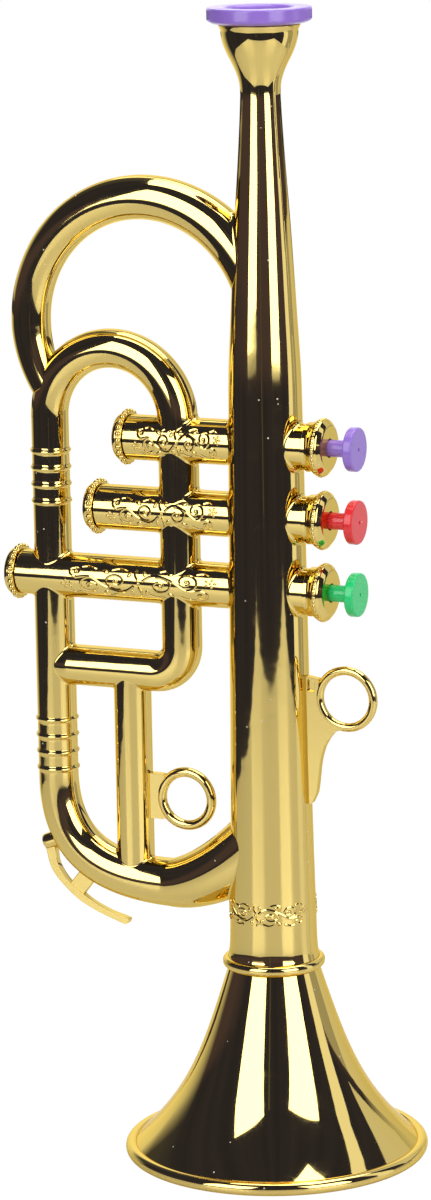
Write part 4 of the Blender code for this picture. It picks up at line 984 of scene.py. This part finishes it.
stub = np.array([(x, 0, z) for x, z in line(*KEY_STUB)])
to_end = np.clip(1 - np.linalg.norm(stub - stub[-1], axis=1) / KEY_STUB_RADIUS, 0, KEY_STUB_LIMIT)
stub_radii = KEY_STUB_RADIUS * (1 - to_end ** KEY_STUB_POWERS[0]) ** KEY_STUB_POWERS[1]
add_to(water_key, swept(stub, stub_radii, sides=32))
plated("water_key", water_key, PLATE_SHARP_ANGLE)


# Body screws
# Five steel self tapping screws with a cross in the head, sunk in the back half.
SCREW_HEAD_HEIGHT = 0.0013
SCREW_SECTION = (
    (0, SCREW_HEAD_HEIGHT, 0), (0.0021, SCREW_HEAD_HEIGHT, 0.0007), (0.0021, 0, 0.0001), (0.0011, 0, 0),
    (0.0011, -0.0059, 0), (0, -0.007, 0))
SCREW_CROSS_LENGTH, SCREW_CROSS_WIDTH, SCREW_CROSS_DEPTH = 0.0024, 0.00044, 0.0007


def plain_finish(name, light, dark, metallic, roughness, grain):
    """Two tones mixed by a fine grain, with uneven gloss."""
    made, tree = new_material(name)
    surface = handled(tree, roughness, smears=0.15, dust=0)
    place = add_node(tree, "TexCoord", {}).outputs["Object"]
    noise = add_node(tree, "TexNoise", {"Vector": place, "Scale": grain, "Detail": 5}).outputs["Fac"]
    feed(tree, tree.nodes["Principled BSDF"], {
        "Base Color": mixed(tree, noise, (*dark, 1), (*light, 1)), "Metallic": metallic,
        "Roughness": surface["Roughness"], "Normal": bumped(tree, noise, strength=0.15, distance=0.0002)})
    return made


steel = plain_finish("spring_steel", (0.66, 0.66, 0.68), (0.5, 0.5, 0.52), metallic=1, roughness=0.28,
                     grain=900)
for number, (x, z) in enumerate(SCREW_PLACES, 1):
    arms = []
    for size in ((SCREW_CROSS_LENGTH, SCREW_CROSS_WIDTH), (SCREW_CROSS_WIDTH, SCREW_CROSS_LENGTH)):
        arm = bmesh.new()
        bmesh.ops.create_cube(arm, size=1, matrix=Matrix.Translation((0, 0, SCREW_HEAD_HEIGHT))
                              @ Matrix.Diagonal((*size, SCREW_CROSS_DEPTH * 2, 1)))
        arms.append(arm)
    screw = cut(turned(rounded(SCREW_SECTION), sides=40), arms)
    bmesh.ops.transform(screw, verts=screw.verts, matrix=Matrix.Translation((x, SCREW_SEAT_Y, z))
                        @ Matrix.Rotation(-pi / 2, 4, "X"))
    make_piece(f"body_screw_{number}_steel", screw, steel, "body", f"body_screw_{number}", "spring_steel")


# Return springs
# Steel coils between the reed block and the flange of each stem, which in the trumpet shorten as the button
# goes in; here each is drawn at rest.
SPRING_RADIUS, SPRING_WIRE, SPRING_TURNS, BUTTON_TRAVEL = 0.003, 0.00035, 5, 0.006
SPRING_TURN_POINTS = 24
for number, z in enumerate(VALVE_Z, 1):
    low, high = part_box(f"return_spring_{number}")
    start, end = low.x - axis_x + SPRING_WIRE, high.x - axis_x - SPRING_WIRE
    turns = np.linspace(0, 2 * pi * SPRING_TURNS, SPRING_TURNS * SPRING_TURN_POINTS)
    coil = np.stack([np.linspace(start, end, len(turns)), SPRING_RADIUS * np.cos(turns),
                     z + SPRING_RADIUS * np.sin(turns)], axis=1)
    wire = swept(coil, [SPRING_WIRE] * len(coil), sides=10, across=(1, 0, 0))
    spring = make_piece(f"return_spring_{number}_coil", wire, steel, "body", f"return_spring_{number}",
                        "spring_steel")
    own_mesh(spring)


# Reed block, reed plate, reeds and pads
# The sounding parts inside the main tube, shown as the frame has them: a moulded block, a brass plate
# with three brass tongues, and soft rubber pads on the ends of the rods.
ivory = plain_finish("block_plastic", (0.8, 0.78, 0.7), (0.7, 0.67, 0.58), metallic=0, roughness=0.5,
                     grain=300)
brass = plain_finish("reed_brass", (0.78, 0.6, 0.28), (0.62, 0.46, 0.2), metallic=1, roughness=0.3, grain=600)
rubber = plain_finish("pad_rubber", (0.06, 0.06, 0.06), (0.035, 0.035, 0.035), metallic=0, roughness=0.75,
                      grain=1500)
inner_finishes = {"reed_block": ivory, "reed_plate": brass}
for number in (1, 2, 3):
    inner_finishes.update({f"reed_{number}": brass, f"valve_pad_{number}": rubber})
for name, finish in inner_finishes.items():
    for material_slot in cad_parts[name].material_slots:
        material_slot.material = finish
